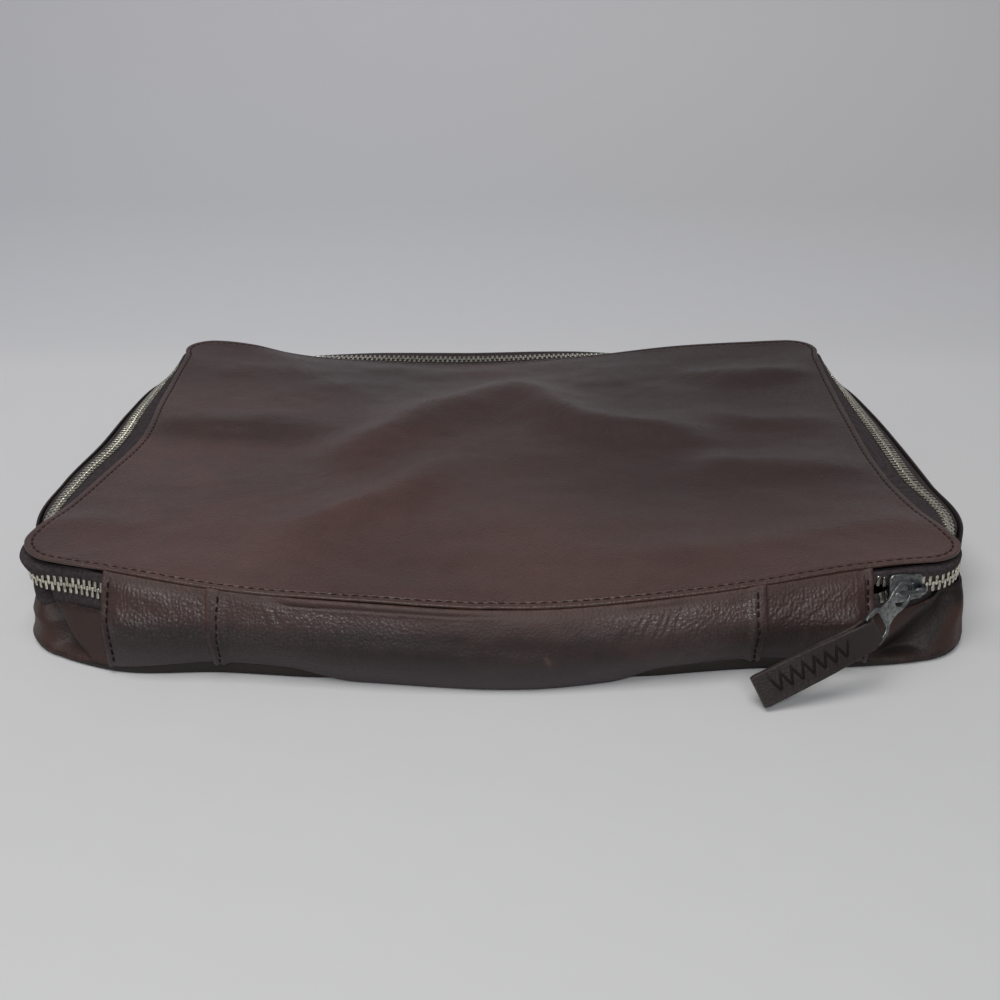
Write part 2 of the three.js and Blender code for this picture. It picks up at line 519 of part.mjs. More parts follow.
// Pull: a flat plate with a round eye over the bridge bar and, at its wide
// end, a slot for the leather tab. Drawn with the bar at (0, 0).
function pullPlate() {
  const eyeX = 3.7;
  const eyeTop = 4.0;
  const eyeBottom = -4.6;
  const rim = 1.3;
  const end = -PULL_REACH - 1.2;
  const slotTop = end + 5.2;
  const slotBottom = end + 2.0;
  const slotHalf = 5.5;
  const outline = new THREE.Shape();
  outline.moveTo(-slotHalf - 1.5, end + 1.2);
  outline.quadraticCurveTo(-slotHalf - 1.5, end, -slotHalf - 0.3, end);
  outline.lineTo(slotHalf + 0.3, end);
  outline.quadraticCurveTo(slotHalf + 1.5, end, slotHalf + 1.5, end + 1.2);
  outline.lineTo(slotHalf + 1.2, slotTop + 1.0);
  outline.quadraticCurveTo(2.6, slotTop + 2.6, 3.0, eyeBottom - 2.2);
  outline.quadraticCurveTo(eyeX + rim, eyeBottom + 1.4, eyeX + rim, (eyeTop + eyeBottom) / 2 + 0.6);
  outline.absellipse(0, (eyeTop + eyeBottom) / 2 + 0.6, eyeX + rim, (eyeTop - eyeBottom) / 2 + rim - 0.6, 0, Math.PI, false, 0);
  outline.quadraticCurveTo(-eyeX - rim, eyeBottom + 1.4, -3.0, eyeBottom - 2.2);
  outline.quadraticCurveTo(-2.6, slotTop + 2.6, -slotHalf - 1.2, slotTop + 1.0);
  outline.closePath();
  const eye = new THREE.Path();
  eye.absellipse(0, (eyeTop + eyeBottom) / 2, eyeX, (eyeTop - eyeBottom) / 2, 0, 2 * Math.PI, true, 0);
  const slot = new THREE.Path();
  slot.moveTo(-slotHalf, slotBottom);
  slot.lineTo(-slotHalf + 0.8, slotTop);
  slot.lineTo(slotHalf - 0.8, slotTop);
  slot.lineTo(slotHalf, slotBottom);
  slot.closePath();
  outline.holes.push(eye, slot);
  const plate = new THREE.ExtrudeGeometry(outline, { depth: PULL_THICK, bevelEnabled: false, curveSegments: 7 });
  plate.translate(0, 0, -PULL_THICK / 2);
  return plate;
}

// Rest pose of the pull: it leans out and down from the bridge, turned so
// that the bar passes slantwise through the eye.
const pullAway = new THREE.Vector3(-0.66, -0.63, -0.41).normalize();
const barAcross = sliderAlong.clone().addScaledVector(pullAway, -sliderAlong.dot(pullAway)).normalize();
const skew = THREE.MathUtils.degToRad(PULL_SKEW);
const pullFace = new THREE.Vector3().crossVectors(pullAway, barAcross).multiplyScalar(Math.cos(skew))
  .addScaledVector(barAcross, Math.sin(skew)).normalize();
const pullRight = new THREE.Vector3().crossVectors(pullAway.clone().negate(), pullFace).normalize();
const slotAt = bridgeAt.clone().addScaledVector(pullAway, PULL_REACH + 0.2);

// Leather tab: one strip folded round the slot's outer bar, both layers
// running on together to the tip, which lies on its lower corner.
const tabTip = new THREE.Vector3(101.2, -171.2, 6.1);
const tabTipAcross = new THREE.Vector3(-0.43, 0.40, 0.81);
const tabBend = slotAt.clone().addScaledVector(pullAway, 4);

const tabCurve = new THREE.QuadraticBezierCurve3(slotAt, tabBend, tabTip);
const tabLength = tabCurve.getLength();

function tabFrame(along) {
  const u = THREE.MathUtils.clamp(along / tabLength, 0, 1);
  const at = tabCurve.getPointAt(u);
  const heading = tabCurve.getTangentAt(u);
  at.addScaledVector(heading, along - u * tabLength);
  const ease = THREE.MathUtils.smoothstep(u, 0, 0.7);
  const across = pullRight.clone().negate().lerp(tabTipAcross, ease);
  across.addScaledVector(heading, -across.dot(heading)).normalize();
  return { at, across, face: new THREE.Vector3().crossVectors(across, heading).normalize() };
}

function tabStrip() {
  const half = TAB_LAYER / 2 + 0.12;
  const open = PULL_THICK / 2 + GAP + 0.2 + TAB_LAYER / 2;
  const run = [1, 0.82, 0.64, 0.48, 0.34].map((share) => share * tabLength).concat([12, 8.5, 6, 3.6, 1.4]);
  const spread = (a) => half + (open - half) * (1 - THREE.MathUtils.smoothstep(a, 2.0, 9));
  const bow = 1.0 + GAP + TAB_LAYER / 2;
  const hairpin = [
    ...run.map((a) => [a, spread(a)]),
    ...[64, 32, 0, -32, -64].map((deg) => THREE.MathUtils.degToRad(deg))
      .map((a) => [-bow * Math.cos(a), open * Math.sin(a)]),
    ...[...run].reverse().map((a) => [a, -spread(a)]),
  ];
  const rings = hairpin.map(([a, off], k) => {
    const before = hairpin[Math.max(k - 1, 0)];
    const after = hairpin[Math.min(k + 1, hairpin.length - 1)];
    const [da, dn] = [after[0] - before[0], after[1] - before[1]];
    const length = Math.hypot(da, dn);
    const [ta, tn] = [-dn / length * TAB_LAYER / 2, da / length * TAB_LAYER / 2];
    const width = TAB_NECK + (TAB_WIDTH - TAB_NECK) * THREE.MathUtils.smoothstep(a, 3.0, 8);
    const corner = (side, edge) => {
      const frame = tabFrame(a + side * ta);
      return frame.at.clone().addScaledVector(frame.face, off + side * tn)
        .addScaledVector(frame.across, edge * width / 2).toArray();
    };
    return [corner(1, -1), corner(1, 1), corner(-1, 1), corner(-1, -1)];
  });
  return loft(rings, false);
}

// ------------------------------------------------------------- assembly
const colours = {
  panel: 0x4a3a36, spine: 0x3f302d, gusset: 0x45332f, sole: 0x2a2423,
  tape: 0x2b2929, teeth: 0xa39c84, metal: 0x4a4d50, tab: 0x30231f,
};
const finish = (color, roughness, metalness) => new THREE.MeshStandardMaterial({ color, roughness, metalness });

const sleeve = new THREE.Group();
function add(name, geometry, material, parent = sleeve) {
  const mesh = new THREE.Mesh(geometry, material);
  mesh.name = name;
  parent.add(mesh);
  return mesh;
}

add('top_panel', topPanel(), finish(colours.panel, 0.5, 0));
add('bottom_panel', bottomPanel(), finish(colours.sole, 0.6, 0));
add('gusset', strip(ZIP_FROM + GAP, ZIP_TO - GAP, gussetLine, LEATHER, true), finish(colours.gusset, 0.5, 0));
add('spine', strip(-SEAM_X + GAP / 2, SEAM_X - GAP / 2, spineLine, LEATHER, true),
  finish(colours.spine, 0.45, 0));
add('spine_end_right', strip(SEAM_X + GAP / 2, ZIP_END_X, spineLine, LEATHER, true), finish(colours.spine, 0.45, 0));
add('spine_end_left', strip(ROUND - ZIP_END_X, ROUND - SEAM_X - GAP / 2, spineLine, LEATHER, true), finish(colours.spine, 0.45, 0));
add('zip_tape_upper', strip(ZIP_FROM + GAP, ZIP_TO - GAP, upperTapeLine, TAPE), finish(colours.tape, 0.85, 0));
add('zip_tape_lower', strip(ZIP_FROM + GAP, ZIP_TO - GAP, lowerTapeLine, TAPE), finish(colours.tape, 0.85, 0));
add('zip_teeth', strip(SLIDER_X + 4.2, ZIP_TO - GAP, chainLine, CHAIN_THICK), finish(colours.teeth, 0.35, 1));

const slider = new THREE.Group();
slider.position.copy(sliderAt);
slider.quaternion.setFromRotationMatrix(new THREE.Matrix4().makeBasis(sliderAlong, sliderAcross, sliderOutward));
sleeve.add(slider);
add('zip_slider', sliderBody(), finish(colours.metal, 0.4, 1), slider);

const pull = new THREE.Group();
pull.position.copy(bridgeAt);
pull.quaternion.setFromRotationMatrix(new THREE.Matrix4().makeBasis(pullRight, pullAway.clone().negate(), pullFace));
sleeve.add(pull);
add('zip_pull', pullPlate(), finish(colours.metal, 0.4, 1), pull);
add('pull_tab', tabStrip(), finish(colours.tab, 0.65, 0));

export default sleeve;
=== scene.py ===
import math

import bpy
import numpy as np
from mathutils import Matrix


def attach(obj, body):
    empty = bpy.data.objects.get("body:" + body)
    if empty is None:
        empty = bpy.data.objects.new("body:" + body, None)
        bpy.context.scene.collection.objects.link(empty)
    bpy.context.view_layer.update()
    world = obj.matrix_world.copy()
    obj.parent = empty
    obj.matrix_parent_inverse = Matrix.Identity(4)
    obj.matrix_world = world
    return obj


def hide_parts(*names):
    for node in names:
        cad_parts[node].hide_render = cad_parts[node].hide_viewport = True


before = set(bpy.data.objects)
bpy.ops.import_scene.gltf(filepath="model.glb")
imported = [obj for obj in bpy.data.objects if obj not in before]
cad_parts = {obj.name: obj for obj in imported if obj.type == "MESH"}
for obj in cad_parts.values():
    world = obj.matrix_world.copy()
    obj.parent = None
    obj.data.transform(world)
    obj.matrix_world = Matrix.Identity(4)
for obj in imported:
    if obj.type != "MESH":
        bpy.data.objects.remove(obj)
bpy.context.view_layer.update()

MM = 0.001

# ------------------------------------------------------------------ sizes, mm
HALF_WIDTH, HALF_DEPTH, CORNER_RADIUS = 190.0, 133.0, 18.0
PANEL, LEATHER, TAPE, GAP = 2.2, 2.0, 0.9, 0.35
CHAIN_THICK, TAPE_FLAT, TAPE_TUCK = 3.0, 2.4, 4.0
CROWN, CROWN_POWER = 34.6, 2.6
SEAM_X, ZIP_END_X = 105.0, 148.5
MOUTH_LEFT, MOUTH_RIGHT, MOUTH_DROP = -88.0, 80.0, 1.2
SLIDER_X, SLIDER_LENGTH, SLIDER_WIDE, SLIDER_NARROW, SLIDER_PLATE = 161.2, 14.0, 11.6, 10.0, 1.25
BRIDGE_LIFT, BRIDGE_LEFT, BRIDGE_RIGHT = 5.5, -7.8, 5.4
PULL_SHIFT, PULL_SKEW, PULL_THICK, PULL_REACH = -5.0, 38.0, 1.3, 20.6
TAB_WIDTH, TAB_NECK, TAB_LAYER = 12.6, 10.5, 1.55
TOOTH_PITCH = 2.9
STITCH_PITCH = 4.0
STITCH_IN = 2.9
DENT = 1.3

# side, at, top edge (out, z), upper side of the teeth, lower side of the
# teeth, top of the wall, fullest place of the wall, foot of the wall
SECTIONS = [
    ("front", 20, 22, 33, 24.6, 29.4, 27.6, 24.5, 30, 17, 30.8, 9, 28.8, 2.4),
    ("front", 65, 18, 35, 20, 31.2, 22.2, 25.5, 23.6, 17, 23.2, 10, 20.5, 4.2),
    ("front", 103, 13, 38, 14.4, 33.8, 16, 27, 17, 18, 17, 11, 15.2, 5.8),
    ("front", 148, 4, 41, 6, 36, 9, 28.5, 12.6, 23.5, 13.8, 10, 13.4, 3.4),
    ("front", 160, 2.4, 41.6, 3.6, 35.9, 5.6, 28.5, 9.1, 23.7, 11.6, 10, 12, 3),
    ("corner", 0, -0.4, 42, -0.6, 35.8, -0.4, 28.6, 2.6, 24, 5.4, 12, 6.6, 2.5),
    ("right", -108, -2.6, 41.2, -0.6, 36.6, 0.4, 29.8, 3.8, 25.2, 5, 14, 4.2, 2.5),
    ("right", -85, -6, 38.8, 2.2, 35.6, 8.6, 32.4, 13.4, 30.8, 13.8, 16, 8.5, 2.5),
    ("right", -45, -9, 36.5, -1, 33.8, 6.4, 33, 12.8, 32, 14.6, 17, 9, 2.5),
    ("right", 0, -8, 36, -0.5, 33.6, 6.9, 32.8, 12.1, 32.2, 14.6, 17, 9, 2.5),
    ("right", 45, -6, 37, -0.2, 34.2, 6.5, 32, 11.6, 30.8, 13, 16, 8.5, 2.5),
    ("right", 90, -4.5, 39.5, 0, 35.6, 4.6, 31, 9.1, 28.5, 10.8, 14, 7.5, 2.5),
    ("right", 110, -3.6, 41.6, 0, 36.6, 2.2, 30.4, 6.2, 26.8, 8, 13, 5.4, 2.5),
    ("corner", 1, 0.8, 42.6, 0.6, 36.6, 1, 29.4, 3.9, 25, 5.5, 12, 4.2, 2.5),
    ("back", 145, -0.2, 42, 1.4, 36.6, 4.4, 30.2, 8.4, 26.6, 9.4, 12.5, 6.5, 2.5),
    ("back", 110, -1, 40.2, 1.5, 36, 5.5, 31, 9.8, 28, 10.8, 13, 7.5, 2.5),
    ("back", 50, -3, 34, 0.6, 31.6, 7.8, 31.4, 13, 31, 13.8, 15, 8, 2.5),
    ("back", -20, -6, 30, -1.2, 28.6, 6, 30.2, 11, 31, 12.6, 15, 8, 2.5),
    ("back", -80, -4, 31.6, -0.2, 29.6, 6.8, 30.6, 12, 30.4, 12.8, 15, 8, 2.5),
    ("back", -130, -2.5, 36.6, 0.4, 33.4, 5.2, 30, 10.1, 28, 11, 13, 7.5, 2.5),
    ("back", -150, -1.6, 41.2, 0.6, 36, 3.6, 29.8, 7.6, 26.4, 9, 12.5, 6.5, 2.5),
    ("corner", 2, 0.4, 42.6, 0.5, 36.6, 1, 29.4, 3.9, 25, 5.5, 12, 4.2, 2.5),
    ("left", 110, -4.6, 41.4, -0.8, 36.4, 1.8, 30.4, 6, 26.9, 7.8, 13, 5.2, 2.5),
    ("left", 90, -5, 39, -1, 35.4, 4.2, 31.6, 8.8, 29.4, 10.6, 14, 7, 2.5),
    ("left", 45, -8, 37.5, -1.8, 34.6, 5, 32.6, 10.1, 31.2, 12.4, 16, 8, 2.5),
    ("left", 0, -12, 36, -4, 33.6, 3.4, 32.9, 9.2, 32, 13.6, 17, 9, 2.5),
    ("left", -45, -8.5, 37, -0.9, 34.2, 6.5, 32.9, 11.6, 31.8, 14.4, 17, 9, 2.5),
    ("left", -85, -5, 39, -1.4, 35.6, 4.2, 32.4, 8.8, 30.6, 10.6, 16, 7, 2.5),
    ("left", -108, -2.2, 41.4, -1.6, 36.4, -2.6, 29.4, 0.3, 24.6, 0.8, 14, 2, 2.5),
    ("corner", 3, -1, 42, -0.9, 34.8, -1.2, 27.6, 1.6, 22.9, 3.2, 12, 5.6, 2.5),
    ("front", -160, 5.6, 41.6, 4.8, 34.8, 6.6, 27.6, 10, 22.9, 13.4, 10, 14.8, 3),
    ("front", -148, 8, 41, 9.8, 35.2, 12.6, 27.6, 16.2, 22.6, 18, 9, 18.6, 3.4),
    ("front", -103, 17, 38, 18.4, 33.8, 20, 27, 20.8, 18, 21, 11, 19.5, 5.8),
    ("front", -50, 21, 35.4, 22.8, 31.6, 25.2, 25.5, 27, 17, 27, 10, 24.8, 4),
]

# Soft ridges of the top panel: the points of its crest in plan, half width,
# height (negative for a hollow).
RIDGES = [
    ([(-74, -16), (-54, 6), (-38, 25), (-18, 44), (6, 66), (16, 66), (28, 48), (41, 27), (56, 14), (78, 9), (92, 7)], 17, 5.3),
    ([(-178, 27), (-140, 28), (-104, 24)], 12, 1.2),
    ([(-24, -26), (-36, -48), (-52, -67), (-66, -84), (-80, -108)], 14, 3.8),
    ([(116, 84), (174, 87)], 12, 3.2),
    ([(112, 27), (170, 22)], 12, 2.7),
    ([(106, -33), (174, -33)], 15, 3.7),
    ([(128, -99), (178, -94)], 9, 1.2),
    ([(-187, -100), (-150, -102)], 9, 1.2),
    ([(-120, 62), (-80, 74)], 12, 0.7),
    ([(-160, 92), (-112, 98)], 10, 1.0),
    ([(-80, 106), (0, 108)], 8, 0.9),
    ([(0, -42), (50, -58), (104, -78)], 28, -2.2),
    ([(50, -118), (80, -112), (124, -106)], 10, 0.9),
    ([(-60, -126), (10, -134)], 9, -0.8),
]

# Creases of the wall at the two front corners: s and z of the upper end, s and
# z of the lower end, depth, how far the near side takes to drop, how far the
# far side takes to come back, and which side of the line is sunk.
STRAIGHT_X = HALF_WIDTH - CORNER_RADIUS
STRAIGHT_Y = HALF_DEPTH - CORNER_RADIUS
QUARTER = math.pi * CORNER_RADIUS / 2
ROUND = 4 * STRAIGHT_X + 4 * STRAIGHT_Y + 4 * QUARTER
FOLDS = [
    (183.0, 25.5, 151.0, 4.0, 7.6, 8.0, 12.0, 1),
    (ROUND - 177.0, 24.0, ROUND - 160.0, 7.0, 8.6, 1.8, 11.0, -1),
]


# ------------------------------------------------------------- guide outline
def station(side, at):
    if side == "front":
        return at % ROUND
    if side == "right":
        return STRAIGHT_X + QUARTER + at + STRAIGHT_Y
    if side == "back":
        return 2 * STRAIGHT_X + 2 * QUARTER + 2 * STRAIGHT_Y - at
    if side == "left":
        return 3 * STRAIGHT_X + 3 * QUARTER + 3 * STRAIGHT_Y - at
    turn = (STRAIGHT_X, STRAIGHT_X + QUARTER + 2 * STRAIGHT_Y,
            3 * STRAIGHT_X + 2 * QUARTER + 2 * STRAIGHT_Y, 3 * STRAIGHT_X + 3 * QUARTER + 4 * STRAIGHT_Y)
    return turn[at] + QUARTER / 2


RUNS = [
    ("line", 0, -HALF_DEPTH, 0, STRAIGHT_X),
    ("turn", STRAIGHT_X, -STRAIGHT_Y, -90, QUARTER),
    ("line", HALF_WIDTH, -STRAIGHT_Y, 90, 2 * STRAIGHT_Y),
    ("turn", STRAIGHT_X, STRAIGHT_Y, 0, QUARTER),
    ("line", STRAIGHT_X, HALF_DEPTH, 180, 2 * STRAIGHT_X),
    ("turn", -STRAIGHT_X, STRAIGHT_Y, 90, QUARTER),
    ("line", -HALF_WIDTH, STRAIGHT_Y, 270, 2 * STRAIGHT_Y),
    ("turn", -STRAIGHT_X, -STRAIGHT_Y, 180, QUARTER),
    ("line", -STRAIGHT_X, -HALF_DEPTH, 0, STRAIGHT_X + 1e-6),
]


def guide(s):
    left = np.mod(np.asarray(s, float), ROUND)
    x, y, nx, ny = (np.zeros_like(left) for _ in range(4))
    open_ = np.ones(left.shape, bool)
    for kind, px, py, degrees, length in RUNS:
        m = open_ & (left <= length)
        a = math.radians(degrees)
        if kind == "line":
            x[m] = px + math.cos(a) * left[m]
            y[m] = py + math.sin(a) * left[m]
            nx[m], ny[m] = math.sin(a), -math.cos(a)
        else:
            t = a + left[m] / CORNER_RADIUS
            x[m] = px + CORNER_RADIUS * np.cos(t)
            y[m] = py + CORNER_RADIUS * np.sin(t)
            nx[m], ny[m] = np.cos(t), np.sin(t)
        open_ &= ~m
        left = np.where(open_, left - length, left)
    return x, y, nx, ny


def place(s, out, z):
    s, out, z = np.broadcast_arrays(np.asarray(s, float), np.asarray(out, float), np.asarray(z, float))
    x, y, nx, ny = guide(s)
    return np.stack([x + nx * out, y + ny * out, z], -1)


_rows = sorted((station(r[0], r[1]), r[2:]) for r in SECTIONS)
_ks = np.array([r[0] for r in _rows])
_kv = np.array([r[1] for r in _rows], float)
_KS = np.concatenate([_ks[-3:] - ROUND, _ks, _ks[:3] + ROUND])
_KV = np.concatenate([_kv[-3:], _kv, _kv[:3]])
NAMES = ("topO", "topZ", "upO", "upZ", "loO", "loZ", "gusO", "gusZ", "belO", "belZ", "footO", "footZ")


def section(s):
    """All columns of the table at the stations s, by a closed cubic."""
    here = np.mod(np.asarray(s, float), ROUND)
    i = np.searchsorted(_KS, here, side="right") - 1
    p = [_KS[i + k] for k in (-1, 0, 1, 2)]
    v = [_KV[i + k] for k in (-1, 0, 1, 2)]

    def slope(a, b, c, va, vb, vc):
        l = (vb - va) / (b - a)[..., None]
        r = (vc - vb) / (c - b)[..., None]
        return (l * (c - b)[..., None] + r * (b - a)[..., None]) / (c - a)[..., None]

    span = p[2] - p[1]
    t = ((here - p[1]) / span)[..., None]
    m1 = slope(p[0], p[1], p[2], v[0], v[1], v[2]) * span[..., None]
    m2 = slope(p[1], p[2], p[3], v[1], v[2], v[3]) * span[..., None]
    out = (2 * t**3 - 3 * t**2 + 1) * v[1] + (t**3 - 2 * t**2 + t) * m1 + (3 * t**2 - 2 * t**3) * v[2] + (t**3 - t**2) * m2
    out = {n: out[..., k] for k, n in enumerate(NAMES)}
    rise = 1.3 * np.exp(-np.square((here - ROUND + 146.0) / 15))
    out["upZ"], out["loZ"] = out["upZ"] + rise, out["loZ"] + rise
    return out


# ------------------------------------------------------------- small helpers
def smooth(x, a, b):
    t = np.clip((np.asarray(x, float) - a) / (b - a), 0, 1)
    return t * t * (3 - 2 * t)


def gauss(x):
    return np.exp(-np.square(x))


def unit(v):
    return v / np.maximum(np.linalg.norm(v, axis=-1, keepdims=True), 1e-12)


def _hash(ix, iy, k):
    v = (ix.astype(np.int64) * 374761393 + iy.astype(np.int64) * 668265263 + k * 974711) & 0xFFFFFFFF
    v = ((v ^ (v >> 13)) * 1274126177) & 0xFFFFFFFF
    v = ((v ^ (v >> 16)) * 2246822519) & 0xFFFFFFFF
    return ((v ^ (v >> 15)) & 0xFFFFFF) / float(0x1000000)


def noise(x, y, k=0):
    """Smooth value noise, from -1 to 1."""
    x, y = np.broadcast_arrays(np.asarray(x, float), np.asarray(y, float))
    ix, iy = np.floor(x).astype(np.int64), np.floor(y).astype(np.int64)
    fx, fy = x - ix, y - iy
    fx, fy = fx**3 * (fx * (6 * fx - 15) + 10), fy**3 * (fy * (6 * fy - 15) + 10)
    a, b = _hash(ix, iy, k), _hash(ix + 1, iy, k)
    c, d = _hash(ix, iy + 1, k), _hash(ix + 1, iy + 1, k)
    return 2 * ((a * (1 - fx) + b * fx) * (1 - fy) + (c * (1 - fx) + d * fx) * fy) - 1


def pebble(x, y, k=0):
    """Rounded grains with grooves between them, from 0 in a groove to 1."""
    x, y = np.broadcast_arrays(np.asarray(x, float), np.asarray(y, float))
    ix, iy = np.floor(x).astype(np.int64), np.floor(y).astype(np.int64)
    f1, f2 = np.full(x.shape, 9.0), np.full(x.shape, 9.0)
    for dx in (-1, 0, 1):
        for dy in (-1, 0, 1):
            cx, cy = ix + dx, iy + dy
            px = cx + 0.1 + 0.8 * _hash(cx, cy, k)
            py = cy + 0.1 + 0.8 * _hash(cx, cy, k + 7)
            d = np.hypot(x - px, y - py)
            f2 = np.minimum(f2, np.maximum(f1, d))
            f1 = np.minimum(f1, d)
    g = np.clip((f2 - f1) / 0.6, 0, 1)
    return 0.55 * (1 - (1 - g) ** 2) + 0.45 * np.clip(1 - f1 * f1 / 0.55, 0, 1)


def lines(ctrl, n):
    """Smooth lines through rows of control points, at even steps of length."""
    m, k, _ = ctrl.shape
    seg = np.linalg.norm(np.diff(ctrl, axis=1), axis=2) + 1e-9
    cum = np.concatenate([np.zeros((m, 1)), np.cumsum(seg, 1)], 1)
    d = np.diff(ctrl, axis=1) / seg[..., None]
    tan = np.empty_like(ctrl)
    tan[:, 0], tan[:, -1] = d[:, 0], d[:, -1]
    tan[:, 1:-1] = (d[:, :-1] * seg[:, 1:, None] + d[:, 1:] * seg[:, :-1, None]) / (seg[:, 1:] + seg[:, :-1])[..., None]
    u = np.linspace(0, 1, n)[None, :] * cum[:, -1:]
    idx = np.zeros((m, n), int)
    for j in range(1, k - 1):
        idx += u >= cum[:, j:j + 1]
    length = np.take_along_axis(seg, idx, 1)
    t = ((u - np.take_along_axis(cum, idx, 1)) / length)[..., None]

    def take(a, i):
        return np.take_along_axis(a, i[..., None], axis=1)

    p0, p1 = take(ctrl, idx), take(ctrl, idx + 1)
    m0, m1 = take(tan, idx) * length[..., None], take(tan, idx + 1) * length[..., None]
    return (2 * t**3 - 3 * t**2 + 1) * p0 + (t**3 - 2 * t**2 + t) * m0 + (3 * t**2 - 2 * t**3) * p1 + (t**3 - t**2) * m1


# -------------------------------------------------------------- mesh builders
def make(name, verts, faces, mat, body, node=None, sharp=40, attrs=None):
    """A piece from vertices in mm and a list of face arrays."""
    verts = np.asarray(verts, float)
    tri = np.concatenate([np.stack([f[:, 0], f[:, k], f[:, k + 1]], 1) for f in faces for k in range(1, f.shape[1] - 1)])
    a, b, c = verts[tri[:, 0]], verts[tri[:, 1]], verts[tri[:, 2]]
    if np.einsum("ij,ij->i", a, np.cross(b, c)).sum() < 0:
        faces = [f[:, ::-1] for f in faces]
    me = bpy.data.meshes.new(name)
    me.from_pydata((verts * MM).tolist(), [], [q for f in faces for q in f.tolist()])
    me.validate()
    me.polygons.foreach_set("use_smooth", np.ones(len(me.polygons), bool))
    if sharp:
        me.set_sharp_from_angle(angle=math.radians(sharp))
    for key, values in (attrs or {}).items():
        at = me.attributes.new(key, "FLOAT", "POINT")
        at.data.foreach_set("value", np.asarray(values, np.float32).ravel())
    me.materials.append(mat)
    me.update()
    o = bpy.data.objects.new(name, me)
    bpy.context.scene.collection.objects.link(o)
    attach(o, body)
    if node:
        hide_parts(node)
    return o


def ring_faces(rings, m, closed_rings, closed_loop=True):
    """Quads between consecutive rings of m points."""
    i = np.arange(rings if closed_rings else rings - 1)
    k = np.arange(m if closed_loop else m - 1)
    ii, kk = np.meshgrid(i, k, indexing="ij")
    jj, nn = (ii + 1) % rings, (kk + 1) % m
    return np.stack([ii * m + kk, jj * m + kk, jj * m + nn, ii * m + nn], -1).reshape(-1, 4)


def shell(grid, thick, lip=0.45, ends=True):
    """A closed skin behind an outer face given as a grid (stations, line, xyz).
    Returns vertices, faces and, for each vertex, how near it is to a rim."""
    ns, nt, _ = grid.shape
    du = np.gradient(grid, axis=0)
    dv = np.gradient(grid, axis=1)
    n = unit(np.cross(dv, du))
    thick = np.broadcast_to(np.asarray(thick, float), (ns, nt))
    inner = grid - n * thick[..., None]
    dvh = unit(dv)
    top = (grid[:, :1] + inner[:, :1]) / 2 - dvh[:, :1] * (lip * thick[:, :1, None])
    low = (grid[:, -1:] + inner[:, -1:]) / 2 + dvh[:, -1:] * (lip * thick[:, -1:, None])
    loops = np.concatenate([grid, low, inner[:, ::-1], top], 1)
    m = loops.shape[1]
    mid = np.concatenate([(grid + inner) / 2, (low + low) / 2, ((grid + inner) / 2)[:, ::-1], top], 1)
    if ends:
        along0 = unit(grid[0] - grid[1]).mean(0)
        along1 = unit(grid[-1] - grid[-2]).mean(0)
        t0, t1 = float(thick[0].mean()), float(thick[-1].mean())
        first = 0.45 * loops[0] + 0.55 * mid[0] + along0 * t0 * lip
        last = 0.45 * loops[-1] + 0.55 * mid[-1] + along1 * t1 * lip
        loops = np.concatenate([first[None], loops, last[None]], 0)
    rings = loops.shape[0]
    faces = [ring_faces(rings, m, False)]
    k = np.arange(nt - 1)
    for base, flip in ((0, False), ((rings - 1) * m, True)):
        # outer k, outer k+1, inner k+1, inner k
        q = np.stack([base + k, base + k + 1, base + 2 * nt - k - 1, base + 2 * nt - k], 1)
        tri_low = np.array([[base + nt - 1, base + nt, base + nt + 1]])
        tri_top = np.array([[base + 2 * nt, base + m - 1, base]])
        faces.append(q[:, ::-1] if flip else q)
        faces.append(tri_low[:, ::-1] if flip else tri_low)
        faces.append(tri_top[:, ::-1] if flip else tri_top)
    wear = np.zeros((rings, m))
    off = 1 if ends else 0
    w = np.zeros((ns, m))
    arc = np.cumsum(np.linalg.norm(np.diff(grid, axis=1, prepend=grid[:, :1]), axis=2), 1)
    near = np.minimum(arc, arc[:, -1:] - arc)
    w[:, :nt] = near
    w[:, nt + 1:2 * nt + 1] = 9
    wear[off:off + ns] = w
    if ends:
        wear[0], wear[-1] = 0, 0
        run = np.cumsum(np.linalg.norm(np.diff(grid[:, nt // 2], axis=0, prepend=grid[:1, nt // 2]), axis=1))
        run = np.minimum(run, run[-1] - run)
        wear[1:-1, :nt] = np.minimum(wear[1:-1, :nt], run[:, None])
    return loops.reshape(-1, 3), faces, wear.reshape(-1)


def bars(at, along, side, up, length, width, height, sink=0.25):
    """Joined small stitches: a row of thread loops that dive at both ends."""
    at, along, side, up = (np.asarray(v, float) for v in (at, along, side, up))
    length = np.broadcast_to(np.asarray(length, float), at.shape[:1])
    steps = np.array([-0.5, -0.42, -0.25, 0.0, 0.25, 0.42, 0.5])
    grow = np.array([0.45, 0.8, 1.0, 1.0, 1.0, 0.8, 0.45])
    lift = np.array([-1.0, -0.35, 0.25, 0.4, 0.25, -0.35, -1.0])
    angle = np.linspace(0, 2 * math.pi, 8, endpoint=False)
    cs, sn = np.cos(angle), np.sin(angle)
    p = (at[:, None, None] + along[:, None, None] * (steps[None, :, None] * length[:, None, None])[..., None]
         + side[:, None, None] * (grow[None, :, None] * cs[None, None, :] * width / 2)[..., None]
         + up[:, None, None] * (lift[None, :, None] * sink + grow[None, :, None] * sn[None, None, :] * height / 2)[..., None])
    count, rings, m = p.shape[:3]
    one = ring_faces(rings, m, False)
    step = (np.arange(count) * rings * m)[:, None, None]
    quads = (one[None] + step).reshape(-1, 4)
    cap0 = np.arange(m)[::-1][None] + step[:, 0]
    cap1 = (np.arange(m) + (rings - 1) * m)[None] + step[:, 0]
    return p.reshape(-1, 3), [quads, cap0, cap1]


